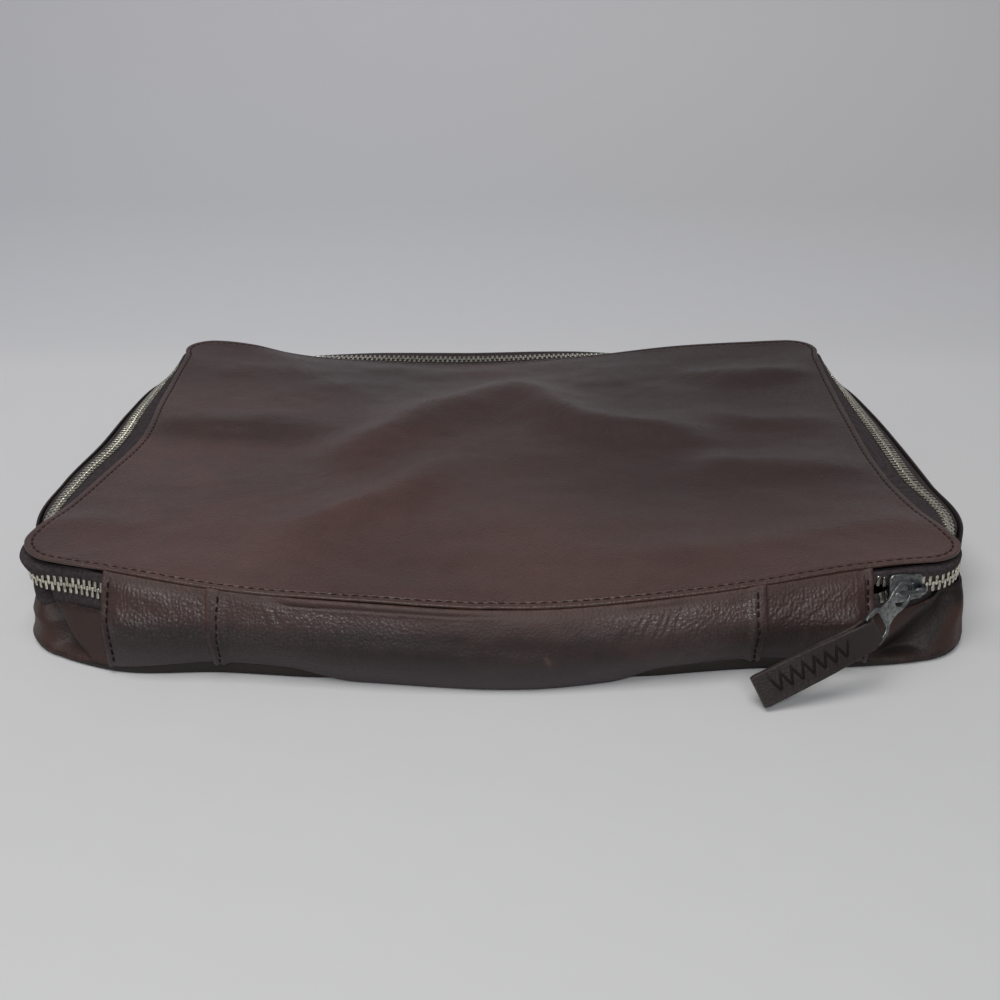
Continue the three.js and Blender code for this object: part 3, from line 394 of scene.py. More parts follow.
def tube(points, radius, up, sides=8, flat=1.0):
    """A closed thread along points, with a flattened round section."""
    points = np.asarray(points, float)
    t = unit(np.gradient(points, axis=0))
    up = np.broadcast_to(np.asarray(up, float), points.shape)
    b = unit(np.cross(t, up))
    n = np.cross(b, t)
    r = np.broadcast_to(np.asarray(radius, float), points.shape[:1])[:, None, None]
    a = np.linspace(0, 2 * math.pi, sides, endpoint=False)
    ring = points[:, None] + r * (b[:, None] * np.cos(a)[None, :, None] + n[:, None] * (flat * np.sin(a))[None, :, None])
    faces = [ring_faces(len(points), sides, False), np.arange(sides)[None, ::-1].copy(),
             (np.arange(sides) + (len(points) - 1) * sides)[None]]
    return ring.reshape(-1, 3), faces


def join(parts):
    verts, faces, base = [], [], 0
    for v, f in parts:
        verts.append(np.asarray(v).reshape(-1, 3))
        faces += [q + base for q in f]
        base += len(verts[-1])
    return np.concatenate(verts), faces


def poly_inset(poly, d):
    """A convex-like outline moved inwards by d."""
    poly = np.asarray(poly, float)
    e = unit(np.roll(poly, -1, 0) - poly)
    n = np.stack([-e[:, 1], e[:, 0]], 1)
    area = (poly[:, 0] * np.roll(poly[:, 1], -1) - np.roll(poly[:, 0], -1) * poly[:, 1]).sum()
    if area < 0:
        n = -n
    m = unit(n + np.roll(n, 1, 0))
    c = np.maximum((m * n).sum(1), 0.4)
    return poly + m * (d / c)[:, None]


def prism(poly, z0, z1, bevel):
    """An outline drawn up from z0 to z1 with rounded edges."""
    poly = np.asarray(poly, float)
    steps = [(1.0, 0.0), (0.62, 0.08), (0.3, 0.3), (0.08, 0.62), (0.0, 1.0)]
    rings = []
    for inn, up in steps:
        q = poly_inset(poly, bevel * inn)
        rings.append(np.c_[q, np.full(len(q), z0 + bevel * up)])
    for inn, up in reversed(steps):
        q = poly_inset(poly, bevel * inn)
        rings.append(np.c_[q, np.full(len(q), z1 - bevel * up)])
    m = len(poly)
    verts = np.concatenate(rings)
    faces = [ring_faces(len(rings), m, False), np.arange(m)[None, ::-1].copy(),
             (np.arange(m) + (len(rings) - 1) * m)[None]]
    return verts, faces


def rounded(poly, radius, steps=5):
    """Corners of an outline cut to arcs."""
    poly = np.asarray(poly, float)
    out = []
    for p, q, r in zip(np.roll(poly, 1, 0), poly, np.roll(poly, -1, 0)):
        a, b = unit(p - q), unit(r - q)
        d = min(radius, 0.45 * np.linalg.norm(p - q), 0.45 * np.linalg.norm(r - q))
        for t in np.linspace(0, 1, steps):
            out.append((1 - t) ** 2 * (q + a * d) + 2 * t * (1 - t) * q + t**2 * (q + b * d))
    return np.array(out)


# ------------------------------------------------------------------ materials
class Nodes:
    """Short names for the nodes of one material."""

    def __init__(self, name):
        self.mat = bpy.data.materials.new(name)
        self.mat.use_nodes = True
        self.tree = self.mat.node_tree
        self.tree.nodes.clear()
        self.out = self.tree.nodes.new("ShaderNodeOutputMaterial")
        self.bsdf = self.tree.nodes.new("ShaderNodeBsdfPrincipled")
        self.link(self.bsdf.outputs[0], self.out.inputs[0])
        self.co = self.tree.nodes.new("ShaderNodeTexCoord").outputs["Object"]

    def link(self, a, b):
        self.tree.links.new(a, b)

    def put(self, value, socket):
        if hasattr(value, "links"):
            self.link(value, socket)
        else:
            socket.default_value = value

    def mapped(self, scale=(1, 1, 1), turn=(0, 0, 0)):
        n = self.tree.nodes.new("ShaderNodeMapping")
        n.inputs["Scale"].default_value = scale
        n.inputs["Rotation"].default_value = turn
        self.link(self.co, n.inputs["Vector"])
        return n.outputs[0]

    def noise(self, scale, detail=3.0, rough=0.55, distort=0.0, co=None):
        n = self.tree.nodes.new("ShaderNodeTexNoise")
        n.inputs["Scale"].default_value = scale
        n.inputs["Detail"].default_value = detail
        n.inputs["Roughness"].default_value = rough
        n.inputs["Distortion"].default_value = distort
        self.link(co or self.co, n.inputs["Vector"])
        return n.outputs[0]

    def cells(self, scale, feature="F1", randomness=1.0, smoothness=0.5, co=None):
        n = self.tree.nodes.new("ShaderNodeTexVoronoi")
        n.feature = feature
        n.inputs["Scale"].default_value = scale
        n.inputs["Randomness"].default_value = randomness
        if feature == "SMOOTH_F1":
            n.inputs["Smoothness"].default_value = smoothness
        self.link(co or self.co, n.inputs["Vector"])
        return n.outputs["Distance"]

    def wave(self, scale, direction="X", distort=0.0, co=None):
        n = self.tree.nodes.new("ShaderNodeTexWave")
        n.wave_type = "BANDS"
        n.bands_direction = direction
        n.inputs["Scale"].default_value = scale
        n.inputs["Distortion"].default_value = distort
        self.link(co or self.co, n.inputs["Vector"])
        return n.outputs["Fac"]

    def attr(self, name):
        n = self.tree.nodes.new("ShaderNodeAttribute")
        n.attribute_name = name
        return n.outputs["Fac"]

    def ramp(self, fac, *stops):
        n = self.tree.nodes.new("ShaderNodeValToRGB")
        e = n.color_ramp.elements
        while len(e) < len(stops):
            e.new(0.5)
        for k, (pos, col) in enumerate(stops):
            e[k].position = pos
            e[k].color = (*col, 1) if len(col) == 3 else col
        self.link(fac, n.inputs[0])
        return n.outputs[0]

    def span(self, value, a, b, c=0.0, d=1.0):
        n = self.tree.nodes.new("ShaderNodeMapRange")
        for k, v in enumerate((a, b, c, d)):
            n.inputs[k + 1].default_value = v
        self.link(value, n.inputs[0])
        return n.outputs[0]

    def math(self, op, a, b=0.0):
        n = self.tree.nodes.new("ShaderNodeMath")
        n.operation = op
        self.put(a, n.inputs[0])
        self.put(b, n.inputs[1])
        return n.outputs[0]

    def mix(self, fac, a, b, blend="MIX"):
        n = self.tree.nodes.new("ShaderNodeMix")
        n.data_type = "RGBA"
        n.blend_type = blend
        for v, k in ((fac, 0), (a, 6), (b, 7)):
            if k and not hasattr(v, "links"):
                v = (*v, 1)
            self.put(v, n.inputs[k])
        return n.outputs[2]

    def bump(self, height, strength, distance, normal=None):
        n = self.tree.nodes.new("ShaderNodeBump")
        n.inputs["Strength"].default_value = strength
        n.inputs["Distance"].default_value = distance
        self.link(height, n.inputs["Height"])
        if normal:
            self.link(normal, n.inputs["Normal"])
        return n.outputs[0]

    def finish(self, **sockets):
        for key, value in sockets.items():
            self.put(value, self.bsdf.inputs[key.replace("_", " ")])
        return self.mat


def lin(r, g, b):
    """A colour given as 0 to 255 on screen, as linear light."""
    return tuple(((v / 255 + 0.055) / 1.055) ** 2.4 if v > 10 else v / 255 / 12.92 for v in (r, g, b))


def smooth_leather(name, dark, mid, light, accent_tone, rough=(0.40, 0.56), grain=1.0, shine=0.32, shade_colour=None, rim=1.3):
    n = Nodes(name)
    big = n.noise(7.0, 3.0, 0.5)
    spots = n.noise(95.0, 5.0, 0.62, 0.4)
    tone = n.ramp(n.math("ADD", n.math("MULTIPLY", big, 0.72), n.math("MULTIPLY", spots, 0.28)),
                  (0.36, dark), (0.52, mid), (0.68, light))
    # Painted shade: the panel grows darker towards the right and towards its back at the left, where less light falls.
    if shade_colour:
        sep = n.tree.nodes.new("ShaderNodeSeparateXYZ")
        n.link(n.co, sep.inputs[0])
        across = n.math("MULTIPLY", n.span(sep.outputs[0], -0.14, 0.07, 0.0, 0.9), n.span(sep.outputs[1], -0.13, -0.05, 0.5, 1.0))
        back = n.math("MULTIPLY", n.span(sep.outputs[1], 0.0, 0.08, 0.0, 0.75), n.span(sep.outputs[0], -0.07, 0.0, 1.0, 0.12))
        # Painted shade: a darker strip in the hollow at the left.
        strip = n.math("MULTIPLY", n.span(sep.outputs[1], -0.006, 0.006, 0.0, 0.6), n.span(sep.outputs[1], 0.018, 0.04, 1.0, 0.0))
        strip = n.math("MULTIPLY", strip, n.span(sep.outputs[0], -0.12, -0.06, 1.0, 0.0))
        shade = n.math("MINIMUM", n.math("ADD", n.math("ADD", across, back), strip), 1.0)
        tone = n.mix(n.math("MULTIPLY", shade, n.span(big, 0.3, 0.7, 0.8, 1.0)), tone, shade_colour)
    edge = n.span(n.attr("rim"), 0.0, rim, 1.0, 0.0)
    # Tone at the rims: worn leather on most pieces, painted shade on the wall.
    edge_mottle = n.math("MULTIPLY", edge, n.span(n.noise(220.0, 4.0, 0.6), 0.35, 0.62))
    colour = n.mix(edge_mottle, tone, accent_tone)
    # Painted shade, on the pieces that carry it: mixed towards a near-black brown.
    colour = n.mix(n.attr("painted_shade"), colour, lin(22, 18, 17))
    fine = n.cells(1150.0, "SMOOTH_F1", 1.0, 0.35)
    colour = n.mix(n.span(fine, 0.15, 0.75, 0.0, 0.4), colour, dark)
    pores = n.noise(2600.0, 2.0, 0.5)
    hair = n.noise(330.0, 4.0, 0.65, 1.2, n.mapped((1.0, 0.45, 1.0), (0, 0, 0.5)))
    h = n.math("ADD", n.math("MULTIPLY", fine, 0.8), n.math("ADD", n.math("MULTIPLY", pores, 0.25), n.math("MULTIPLY", hair, 0.8)))
    normal = n.bump(h, 0.42 * grain, 0.00028)
    normal = n.bump(n.noise(42.0, 3.0, 0.5), 0.35, 0.0012, normal)
    r = n.span(n.math("ADD", n.math("MULTIPLY", spots, 0.5), n.math("MULTIPLY", hair, 0.5)), 0.3, 0.7, *rough)
    return n.finish(Base_Color=colour, Roughness=r, Normal=normal, Specular_IOR_Level=shine)


def pebbled_leather(name, dark, mid, light, accent_tone):
    n = Nodes(name)
    big = n.noise(16.0, 3.0, 0.5)
    spots = n.noise(160.0, 5.0, 0.6)
    tone = n.ramp(n.math("ADD", n.math("MULTIPLY", big, 0.6), n.math("MULTIPLY", spots, 0.4)),
                  (0.36, dark), (0.52, mid), (0.68, light))
    crest = n.span(n.attr("grain"), 0.62, 1.0)
    tone = n.mix(n.math("MULTIPLY", crest, 0.28), tone, accent_tone)
    edge = n.span(n.attr("rim"), 0.0, 1.4, 1.0, 0.0)
    edge_mottle = n.math("MULTIPLY", edge, n.span(n.noise(240.0, 4.0, 0.6), 0.38, 0.62))
    colour = n.mix(n.math("MULTIPLY", edge_mottle, 0.7), tone, accent_tone)
    # Painted reflection and light: the lower part is greyer, standing in for the floor seen in it, and the upper part
    # redder and lighter, standing in for the light from above.
    sep = n.tree.nodes.new("ShaderNodeSeparateXYZ")
    n.link(n.co, sep.inputs[0])
    colour = n.mix(n.span(sep.outputs[2], 0.004, 0.016, 0.75, 0.0), colour, lin(63, 56, 60))
    colour = n.mix(n.span(sep.outputs[2], 0.023, 0.029, 0.0, 0.36), colour, lin(78, 51, 45))
    colour = n.mix(n.math("MULTIPLY", n.attr("scuff"), n.span(spots, 0.4, 0.6, 0.1, 0.38)), colour, lin(120, 92, 76))
    fine = n.cells(1000.0, "SMOOTH_F1", 1.0, 0.3)
    pores = n.noise(2300.0, 2.0, 0.5)
    normal = n.bump(n.math("ADD", n.math("MULTIPLY", fine, 0.9), n.math("MULTIPLY", pores, 0.3)), 0.5, 0.0003)
    gloss = n.math("MULTIPLY", n.span(n.attr("grain"), 0.3, 0.9), n.span(n.attr("rim"), 1.0, 4.0))
    gloss = n.math("MULTIPLY", gloss, n.span(sep.outputs[2], 0.017, 0.026, 0.15, 1.0))
    return n.finish(Base_Color=colour, Roughness=n.span(gloss, 0.0, 1.0, 0.58, 0.27), Normal=normal, Specular_IOR_Level=n.span(gloss, 0.0, 1.0, 0.42, 0.78))


def cloth(name, dark, light):
    n = Nodes(name)
    ribs = n.wave(1050.0, "DIAGONAL", 0.5)
    cross = n.wave(1300.0, "Z", 0.6)
    weave = n.math("MULTIPLY", ribs, cross)
    fuzz = n.noise(900.0, 4.0, 0.6)
    tone = n.ramp(n.math("ADD", n.math("MULTIPLY", weave, 0.2), n.math("MULTIPLY", fuzz, 0.8)), (0.25, dark), (0.8, light))
    normal = n.bump(n.math("ADD", n.math("MULTIPLY", weave, 0.5), fuzz), 0.4, 0.0003)
    return n.finish(Base_Color=tone, Roughness=n.span(fuzz, 0.3, 0.7, 0.75, 0.95), Normal=normal, Specular_IOR_Level=0.1)


def metal(name, dark, light, accent_tone, rough, pits=1.0, wear="rim", metallic=1.0):
    n = Nodes(name)
    patch = n.noise(420.0, 5.0, 0.65, 0.5)
    tone = n.ramp(patch, (0.34, dark), (0.66, light))
    edge = n.span(n.attr(wear), 0.0, 1.0, 0.0, 1.0)
    edge_mottle = n.math("MULTIPLY", edge, n.span(n.noise(700.0, 4.0, 0.6), 0.3, 0.6))
    colour = n.mix(edge_mottle, tone, accent_tone)
    scratch = n.noise(1500.0, 3.0, 0.6, 0.0, n.mapped((1.0, 0.12, 1.0), (0.4, 0.2, 0.9)))
    normal = n.bump(n.math("ADD", n.math("MULTIPLY", patch, pits), n.math("MULTIPLY", scratch, 0.4)), 0.35, 0.00025)
    return n.finish(Base_Color=colour, Metallic=metallic, Roughness=n.span(n.math("ADD", n.math("MULTIPLY", patch, 0.6), n.math("MULTIPLY", scratch, 0.4)), 0.3, 0.7, *rough), Normal=normal)


def thread(name, dark, light):
    n = Nodes(name)
    twist = n.wave(1500.0, "DIAGONAL", 0.8)
    fuzz = n.noise(1200.0, 3.0, 0.6)
    tone = n.ramp(n.math("ADD", n.math("MULTIPLY", twist, 0.5), n.math("MULTIPLY", fuzz, 0.5)), (0.25, dark), (0.75, light))
    return n.finish(Base_Color=tone, Roughness=n.span(fuzz, 0.3, 0.7, 0.6, 0.85), Normal=n.bump(twist, 0.5, 0.0002), Specular_IOR_Level=0.12)


M_PANEL = smooth_leather("leather_panel", lin(62, 42, 39), lin(82, 56, 51), lin(100, 69, 61), lin(64, 46, 40), (0.32, 0.44), 2.1, 0.5, shade_colour=lin(27, 18, 17))
# The wall's dark edge tone is painted shade along its rims, as in the shadow of the tape.
M_WALL = smooth_leather("leather_wall", lin(49, 34, 31), lin(65, 44, 38), lin(82, 56, 47), lin(24, 19, 18), (0.46, 0.6), 1.2, 0.3, None, 2.4)
M_SPINE = pebbled_leather("leather_pebbled", lin(28, 18, 17), lin(38, 25, 23), lin(51, 34, 30), lin(80, 58, 51))
M_SOLE = smooth_leather("leather_sole", lin(28, 23, 22), lin(36, 29, 27), lin(44, 36, 33), lin(60, 48, 42), (0.5, 0.7), 1.3)
M_TAB = smooth_leather("leather_tab", lin(29, 23, 22), lin(39, 31, 29), lin(51, 41, 38), lin(54, 44, 40), (0.48, 0.64), 1.5)
M_TAPE = cloth("zip_cloth", lin(38, 33, 35), lin(79, 71, 73))
M_TEETH = metal("tooth_metal", lin(86, 81, 68), lin(142, 136, 119), lin(222, 217, 202), (0.17, 0.32), 0.5)
M_METAL = metal("gun_metal", lin(66, 67, 70), lin(104, 106, 109), lin(176, 176, 174), (0.32, 0.48), 1.2)
M_THREAD = thread("thread_dark", lin(16, 13, 12), lin(40, 30, 27))
M_PANEL_THREAD = thread("thread_panel", lin(27, 20, 18), lin(50, 36, 32))
M_TAB_THREAD = thread("thread_tab", lin(22, 17, 16), lin(41, 33, 30))


# -------------------------------------------------------- wall and spine lines
def fold_depth(s, z):
    s = np.mod(s, ROUND)
    depth = np.zeros(np.broadcast(s, z).shape)
    for s0, z0, s1, z1, deep, drop, back, side in FOLDS:
        ds, dz = s1 - s0, z1 - z0
        length = math.hypot(ds, dz)
        along = ((s - s0) * ds + (z - z0) * dz) / length**2
        off = ((s - s0) * -dz + (z - z0) * ds) / length
        off = off * (1 if (ds * 0 - dz * 1) * side > 0 else -1)
        off = off + 0.9 * np.sin(along * 5.0)
        body = smooth(off, -drop, drop * 0.6) * np.where(off > drop * 0.6, gauss((off - drop * 0.6) / (back * np.clip(0.3 + 0.7 * along, 0.25, 1.0))), 1.0)
        reach = smooth(along, -0.35, 0.12) * (1 - 0.55 * smooth(along, 0.72, 1.12)) * (1 - smooth(along, 1.05, 1.5))
        depth = depth + deep * body * reach
    return depth * smooth(z, 2.4, 5.2)


def belly_out(sec, s, z, folds=True):
    above = z > sec["belZ"]
    end_o = np.where(above, sec["gusO"], sec["footO"])
    end_z = np.where(above, sec["gusZ"], sec["footZ"])
    t = (z - sec["belZ"]) / (end_z - sec["belZ"])
    out = sec["belO"] - (sec["belO"] - end_o) * t * t
    return out - fold_depth(s, z) if folds else out


def column(sec):
    return {k: v[:, None] for k, v in sec.items()}


def x_of(s):
    s = np.mod(s, ROUND)
    return np.where(s > ROUND / 2, s - ROUND, s)


def wall_rows(s, rows):
    sec = column(section(s))
    t = rows[None, :]
    z = np.where(t > 0, sec["belZ"] + t * (sec["gusZ"] - sec["belZ"]), sec["belZ"] - t * (sec["footZ"] - sec["belZ"]))
    return sec, z


def mouth(x):
    """1 where the folded lip of the spine shows under the panel's edge."""
    return smooth(x, -82, -72) * (1 - smooth(x, -18, 18)) + 0.55 * smooth(x, 46, 55) * (1 - smooth(x, 70, 80))


def low_foot(x):
    """1 where the spine hides the sole, in the middle of the front."""
    return smooth(x, -78, -48) * (1 - smooth(x, 46, 68))


def spine_ctrl(s):
    sec = section(s)
    m = mouth(x_of(s))
    top_z = sec["topZ"] - 1.5 + 0.2 * m
    pts = [np.stack([sec["topO"] - 0.25 + 1.35 * m, top_z], -1),
           np.stack([sec["upO"] + 0.3 * m, np.minimum(sec["upZ"], top_z - 1.6)], -1),
           np.stack([sec["loO"], sec["loZ"]], -1)]
    for t in (1.0, 0.5, 0.0, -0.5, -1.0):
        c = {k: v for k, v in sec.items()}
        z = c["belZ"] + t * (c["gusZ"] - c["belZ"]) if t > 0 else c["belZ"] - t * (c["footZ"] - c["belZ"])
        out = belly_out(c, s, z, False)
        if t == -1.0:
            z = z - (z - 0.5) * low_foot(x_of(s))
        pts.append(np.stack([out, z], -1))
    return np.stack(pts, 1)


# ------------------------------------------------------------------ top panel
def ridge(x, y, crest, wide, high):
    """A soft ridge along a line of points, lower towards its two ends."""
    crest = np.array(crest, float)
    run = np.concatenate([[0], np.cumsum(np.linalg.norm(np.diff(crest, axis=0), axis=1))])
    count = int(run[-1] / (0.5 * wide)) + 2
    at = np.linspace(0, run[-1], count)
    z = 0.0
    for px, py in zip(np.interp(at, run, crest[:, 0]), np.interp(at, run, crest[:, 1])):
        z = z + np.exp(-(np.square(x - px) + np.square(y - py)) / wide**2)
    return high * z * (run[-1] / (count - 1)) / (wide * math.sqrt(math.pi))


def panel_z(x, y, share, edge):
    z = CROWN + (edge - CROWN) * share**CROWN_POWER
    calm = 1 - share**10
    x2 = x + 4.5 * noise(x / 34, y / 34, 5)
    y2 = y + 4.5 * noise(x / 34, y / 34, 6)
    for crest, wide, high in RIDGES:
        z = z + calm * ridge(x2, y2, crest, wide, high * DENT)
    # At the left the leather drops towards the front and comes back slowly.
    fall = 9 - 0.05 * (x + 190) - y2
    drop = smooth(fall, -15, 15) * np.exp(-np.maximum(fall, 0) / 38) * (1 - smooth(x, -112, -52))
    z = z - calm * 5.0 * drop
    z = z + calm * (0.42 * noise(x / 30 + 3, y / 17, 3) + 0.2 * noise(x / 12, y / 8, 4) + 0.06 * noise(x / 4.6, y / 3.4, 7))
    return z


def edge_stations(count):
    """Stations all round, closer together at the corners."""
    base = np.linspace(0, ROUND, 4001)
    dense = np.ones_like(base)
    for k in range(4):
        d = np.abs(base - station("corner", k))
        dense += 1.6 * gauss(np.minimum(d, ROUND - d) / 24)
    cum = np.concatenate([[0], np.cumsum((dense[1:] + dense[:-1]) / 2)])
    return np.interp(np.linspace(0, cum[-1], count, endpoint=False), cum, base)


def panel_edge(s):
    sec = section(s)
    p = place(s, sec["topO"] + 0.18 * noise(s / 17, 0 * s + 0.5, 11), sec["topZ"] + 0.16 * noise(s / 21, 0 * s + 2.5, 12))
    t = unit(np.roll(p, -1, 0) - np.roll(p, 1, 0))
    n = unit(np.stack([t[:, 1], -t[:, 0]], 1))
    return p, n, (p[:, :2] * n).sum(1)


def calm_edge(s, z, share):
    """Edge heights as the inner rings see them: smoother further in."""
    fine = np.linspace(0, ROUND, 1261, endpoint=False)
    raw = section(fine)["topZ"]
    k = np.arange(-90, 91)
    w = np.exp(-np.square(k / 38.0))
    soft = np.convolve(np.concatenate([raw[-90:], raw, raw[:90]]), w / w.sum(), "valid")
    soft = np.interp(np.mod(s, ROUND), np.append(fine, ROUND), np.append(soft, soft[0]))
    return soft + (z - soft) * share**5


def panel_profile(d):
    """Height of the top face over the plain panel, d inside the edge."""
    r = 0.5
    edge = np.where(d < r, -r + np.sqrt(np.maximum(r * r - (r - np.minimum(d, r)) ** 2, 0)), 0.0)
    return edge + 0.1 * gauss((d - 1.5) / 0.8) - 0.32 * gauss((d - STITCH_IN) / 0.5) + 0.12 * gauss((d - 4.6) / 1.5)


def build_top_panel():
    s = edge_stations(860)
    p, n, reach = panel_edge(s)
    inset = np.array([0, 0.04, 0.12, 0.25, 0.42, 0.65, 0.95, 1.3, 1.7, 2.05, 2.3, 2.5, 2.7, 2.9, 3.1, 3.3, 3.55, 3.9, 4.4, 5.1, 6.0, 7.2, 8.8, 11, 13])
    inner = np.linspace(0, 1, 44)[1:-1] ** 0.9

    def ring(share, d):
        x, y = p[:, 0] * share, p[:, 1] * share
        z = panel_z(x, y, share, calm_edge(s, p[:, 2], share)) + panel_profile(d)
        return np.stack([x, y, z], 1)

    top, rim = [], []
    for d in inset:
        top.append(ring(1 - d / reach, np.full(len(s), d)))
        rim.append(np.full(len(s), d))
    last = 1 - inset[-1] / reach
    for f in inner:
        share = last * (1 - f)
        d = (1 - share) * reach
        top.append(ring(share, d))
        rim.append(d)
    # The underside is plainer, and the edge is turned under it.
    under = []
    lows = [(1 - d / reach, drop) for d, drop in ((0.0, 0.75), (0.05, 1.05), (0.25, 1.3), (0.7, 1.42), (4.0, 1.5), (9.0, PANEL), (9.6, PANEL - 0.5))]
    lows += [(last * (1 - f), PANEL - 0.5) for f in inner[3::3]]
    for share, drop in lows:
        x, y = p[:, 0] * share, p[:, 1] * share
        under.append(np.stack([x, y, panel_z(x, y, share, calm_edge(s, p[:, 2], share)) - drop], 1))
    rings = under[::-1] + top
    m = len(s)
    nil = np.zeros(1)
    middle = panel_z(nil, nil, nil, CROWN)[0]
    verts = np.concatenate(rings + [np.array([[0, 0, middle - PANEL + 0.5], [0, 0, middle]])])
    faces = [ring_faces(len(rings), m, False)]
    k = np.arange(m)
    nxt = (k + 1) % m
    faces.append(np.stack([nxt, k, np.full(m, len(rings) * m)], 1))
    base = (len(rings) - 1) * m
    faces.append(np.stack([base + k, base + nxt, np.full(m, len(rings) * m + 1)], 1))
    attr = np.concatenate([np.full(m * (len(under) - 4), 9.0), np.zeros(4 * m)] + rim + [np.array([99.0, 99.0])])
    o = make("top_panel_leather", verts, faces, M_PANEL, "case", "top_panel", 60, {"rim": attr})
    # Stitches all round, each a loop of thread in the groove.
    fine = np.linspace(0, ROUND, 6000, endpoint=False)
    q, qn, qr = panel_edge(fine)
    share = 1 - STITCH_IN / qr
    line = np.stack([q[:, 0] * share, q[:, 1] * share, panel_z(q[:, 0] * share, q[:, 1] * share, share, calm_edge(fine, q[:, 2], share))], 1)
    run = np.concatenate([[0], np.cumsum(np.linalg.norm(np.diff(line, axis=0, append=line[:1]), axis=1))])
    count = int(round(run[-1] / STITCH_PITCH))
    mids = (np.arange(count) + 0.5) * run[-1] / count
    loop = np.concatenate([line, line[:1]])

    def at(d):
        return np.stack([np.interp(np.mod(d, run[-1]), run, loop[:, k]) for k in range(3)], 1)

    a, b = at(mids - 1.5), at(mids + 1.5)
    along = unit(b - a)
    up = np.tile([0.0, 0.0, 1.0], (count, 1))
    side = unit(np.cross(along, up))
    up = np.cross(side, along)
    v, f = bars((a + b) / 2 - up * 0.22, along, side, up, np.linalg.norm(b - a, axis=1), 0.7, 0.5, 0.3)
    make("top_panel_stitches", v, f, M_PANEL_THREAD, "case", None, 60)
    return o


# --------------------------------------------------------------- bottom panel
def build_bottom_panel():
    s = edge_stations(560)
    sec = section(s)
    x = x_of(s)
    front = (np.mod(s, ROUND) < 172) | (np.mod(s, ROUND) > ROUND - 172)
    out = sec["footO"] - 0.25 + 0.15 * noise(s / 15, 0 * s + 4.5, 31) - np.where(front, 1.9 * low_foot(x), 0.0) - 2.4 * gauss((s - station("corner", 3)) / 17)
    rim = sec["footZ"] - GAP
    full = place(s, out, 0)
    profile = [(-2.0, -0.5), (-1.9, -0.15), (-1.5, 0.0), (-0.7, 0.0), (-0.2, -0.2), (0.0, -0.55)]
    rings = []
    rings.append(place(s, out - 3.2, 2.0))
    rings.append(place(s, out - 2.6, np.maximum(2.05, rim * 0.55)))
    for off, dz in profile:
        rings.append(place(s, out + off, np.maximum(rim + dz, 0.6)))
    rings.append(place(s, out - 0.02, np.maximum(rim * 0.55, 0.5)))
    rings.append(place(s, out - 0.25, np.minimum(0.55, rim * 0.4)))
    rings.append(place(s, out - 0.7, 0.16))
    rings.append(place(s, out - 1.4, 0.0))
    lower = [full * np.array([f, f, 0]) + np.array([0, 0, 0.0]) for f in (0.96, 0.85, 0.6, 0.3)]
    upper = [full * np.array([f, f, 0]) + np.array([0, 0, 2.0]) for f in (0.3, 0.6, 0.85, 0.95)]
    rings = upper + rings + lower
    m = len(s)
    verts = np.concatenate(rings + [np.array([[0, 0, 2.0], [0, 0, 0.0]])])
    k = np.arange(m)
    nxt = (k + 1) % m
    base = (len(rings) - 1) * m
    faces = [ring_faces(len(rings), m, False),
             np.stack([nxt, k, np.full(m, len(rings) * m)], 1),
             np.stack([base + k, base + nxt, np.full(m, len(rings) * m + 1)], 1)]
    attr = np.full(len(verts), 6.0)
    attr[(4 + 2) * m:(4 + 8) * m] = 1.4
    return make("bottom_panel_leather", verts, faces, M_SOLE, "case", "bottom_panel", 60, {"rim": attr})


# ----------------------------------------------------------- gusset, spine ends
def spaced(a, b, coarse, fine, near, reach):
    """Stations from a to b, fine near the marks in near."""
    base = np.linspace(a, b, 3000)
    dens = np.full_like(base, 1 / coarse)
    for mark in near:
        dens = np.maximum(dens, (1 / fine) * (1 - smooth(np.abs(base - mark), reach, reach * 1.6)))
    cum = np.concatenate([[0], np.cumsum((dens[1:] + dens[:-1]) / 2 * np.diff(base))])
    return np.interp(np.linspace(0, cum[-1], int(cum[-1]) + 2), cum, base)


def draw_in(s, z):
    """How far the wall is drawn in at the left front corner."""
    return gauss((s - station("corner", 3)) / 17) * np.interp(z, (0, 4, 8, 13, 18, 25), (2.4, 2.4, 2.3, 2.1, 4.0, 5.2))


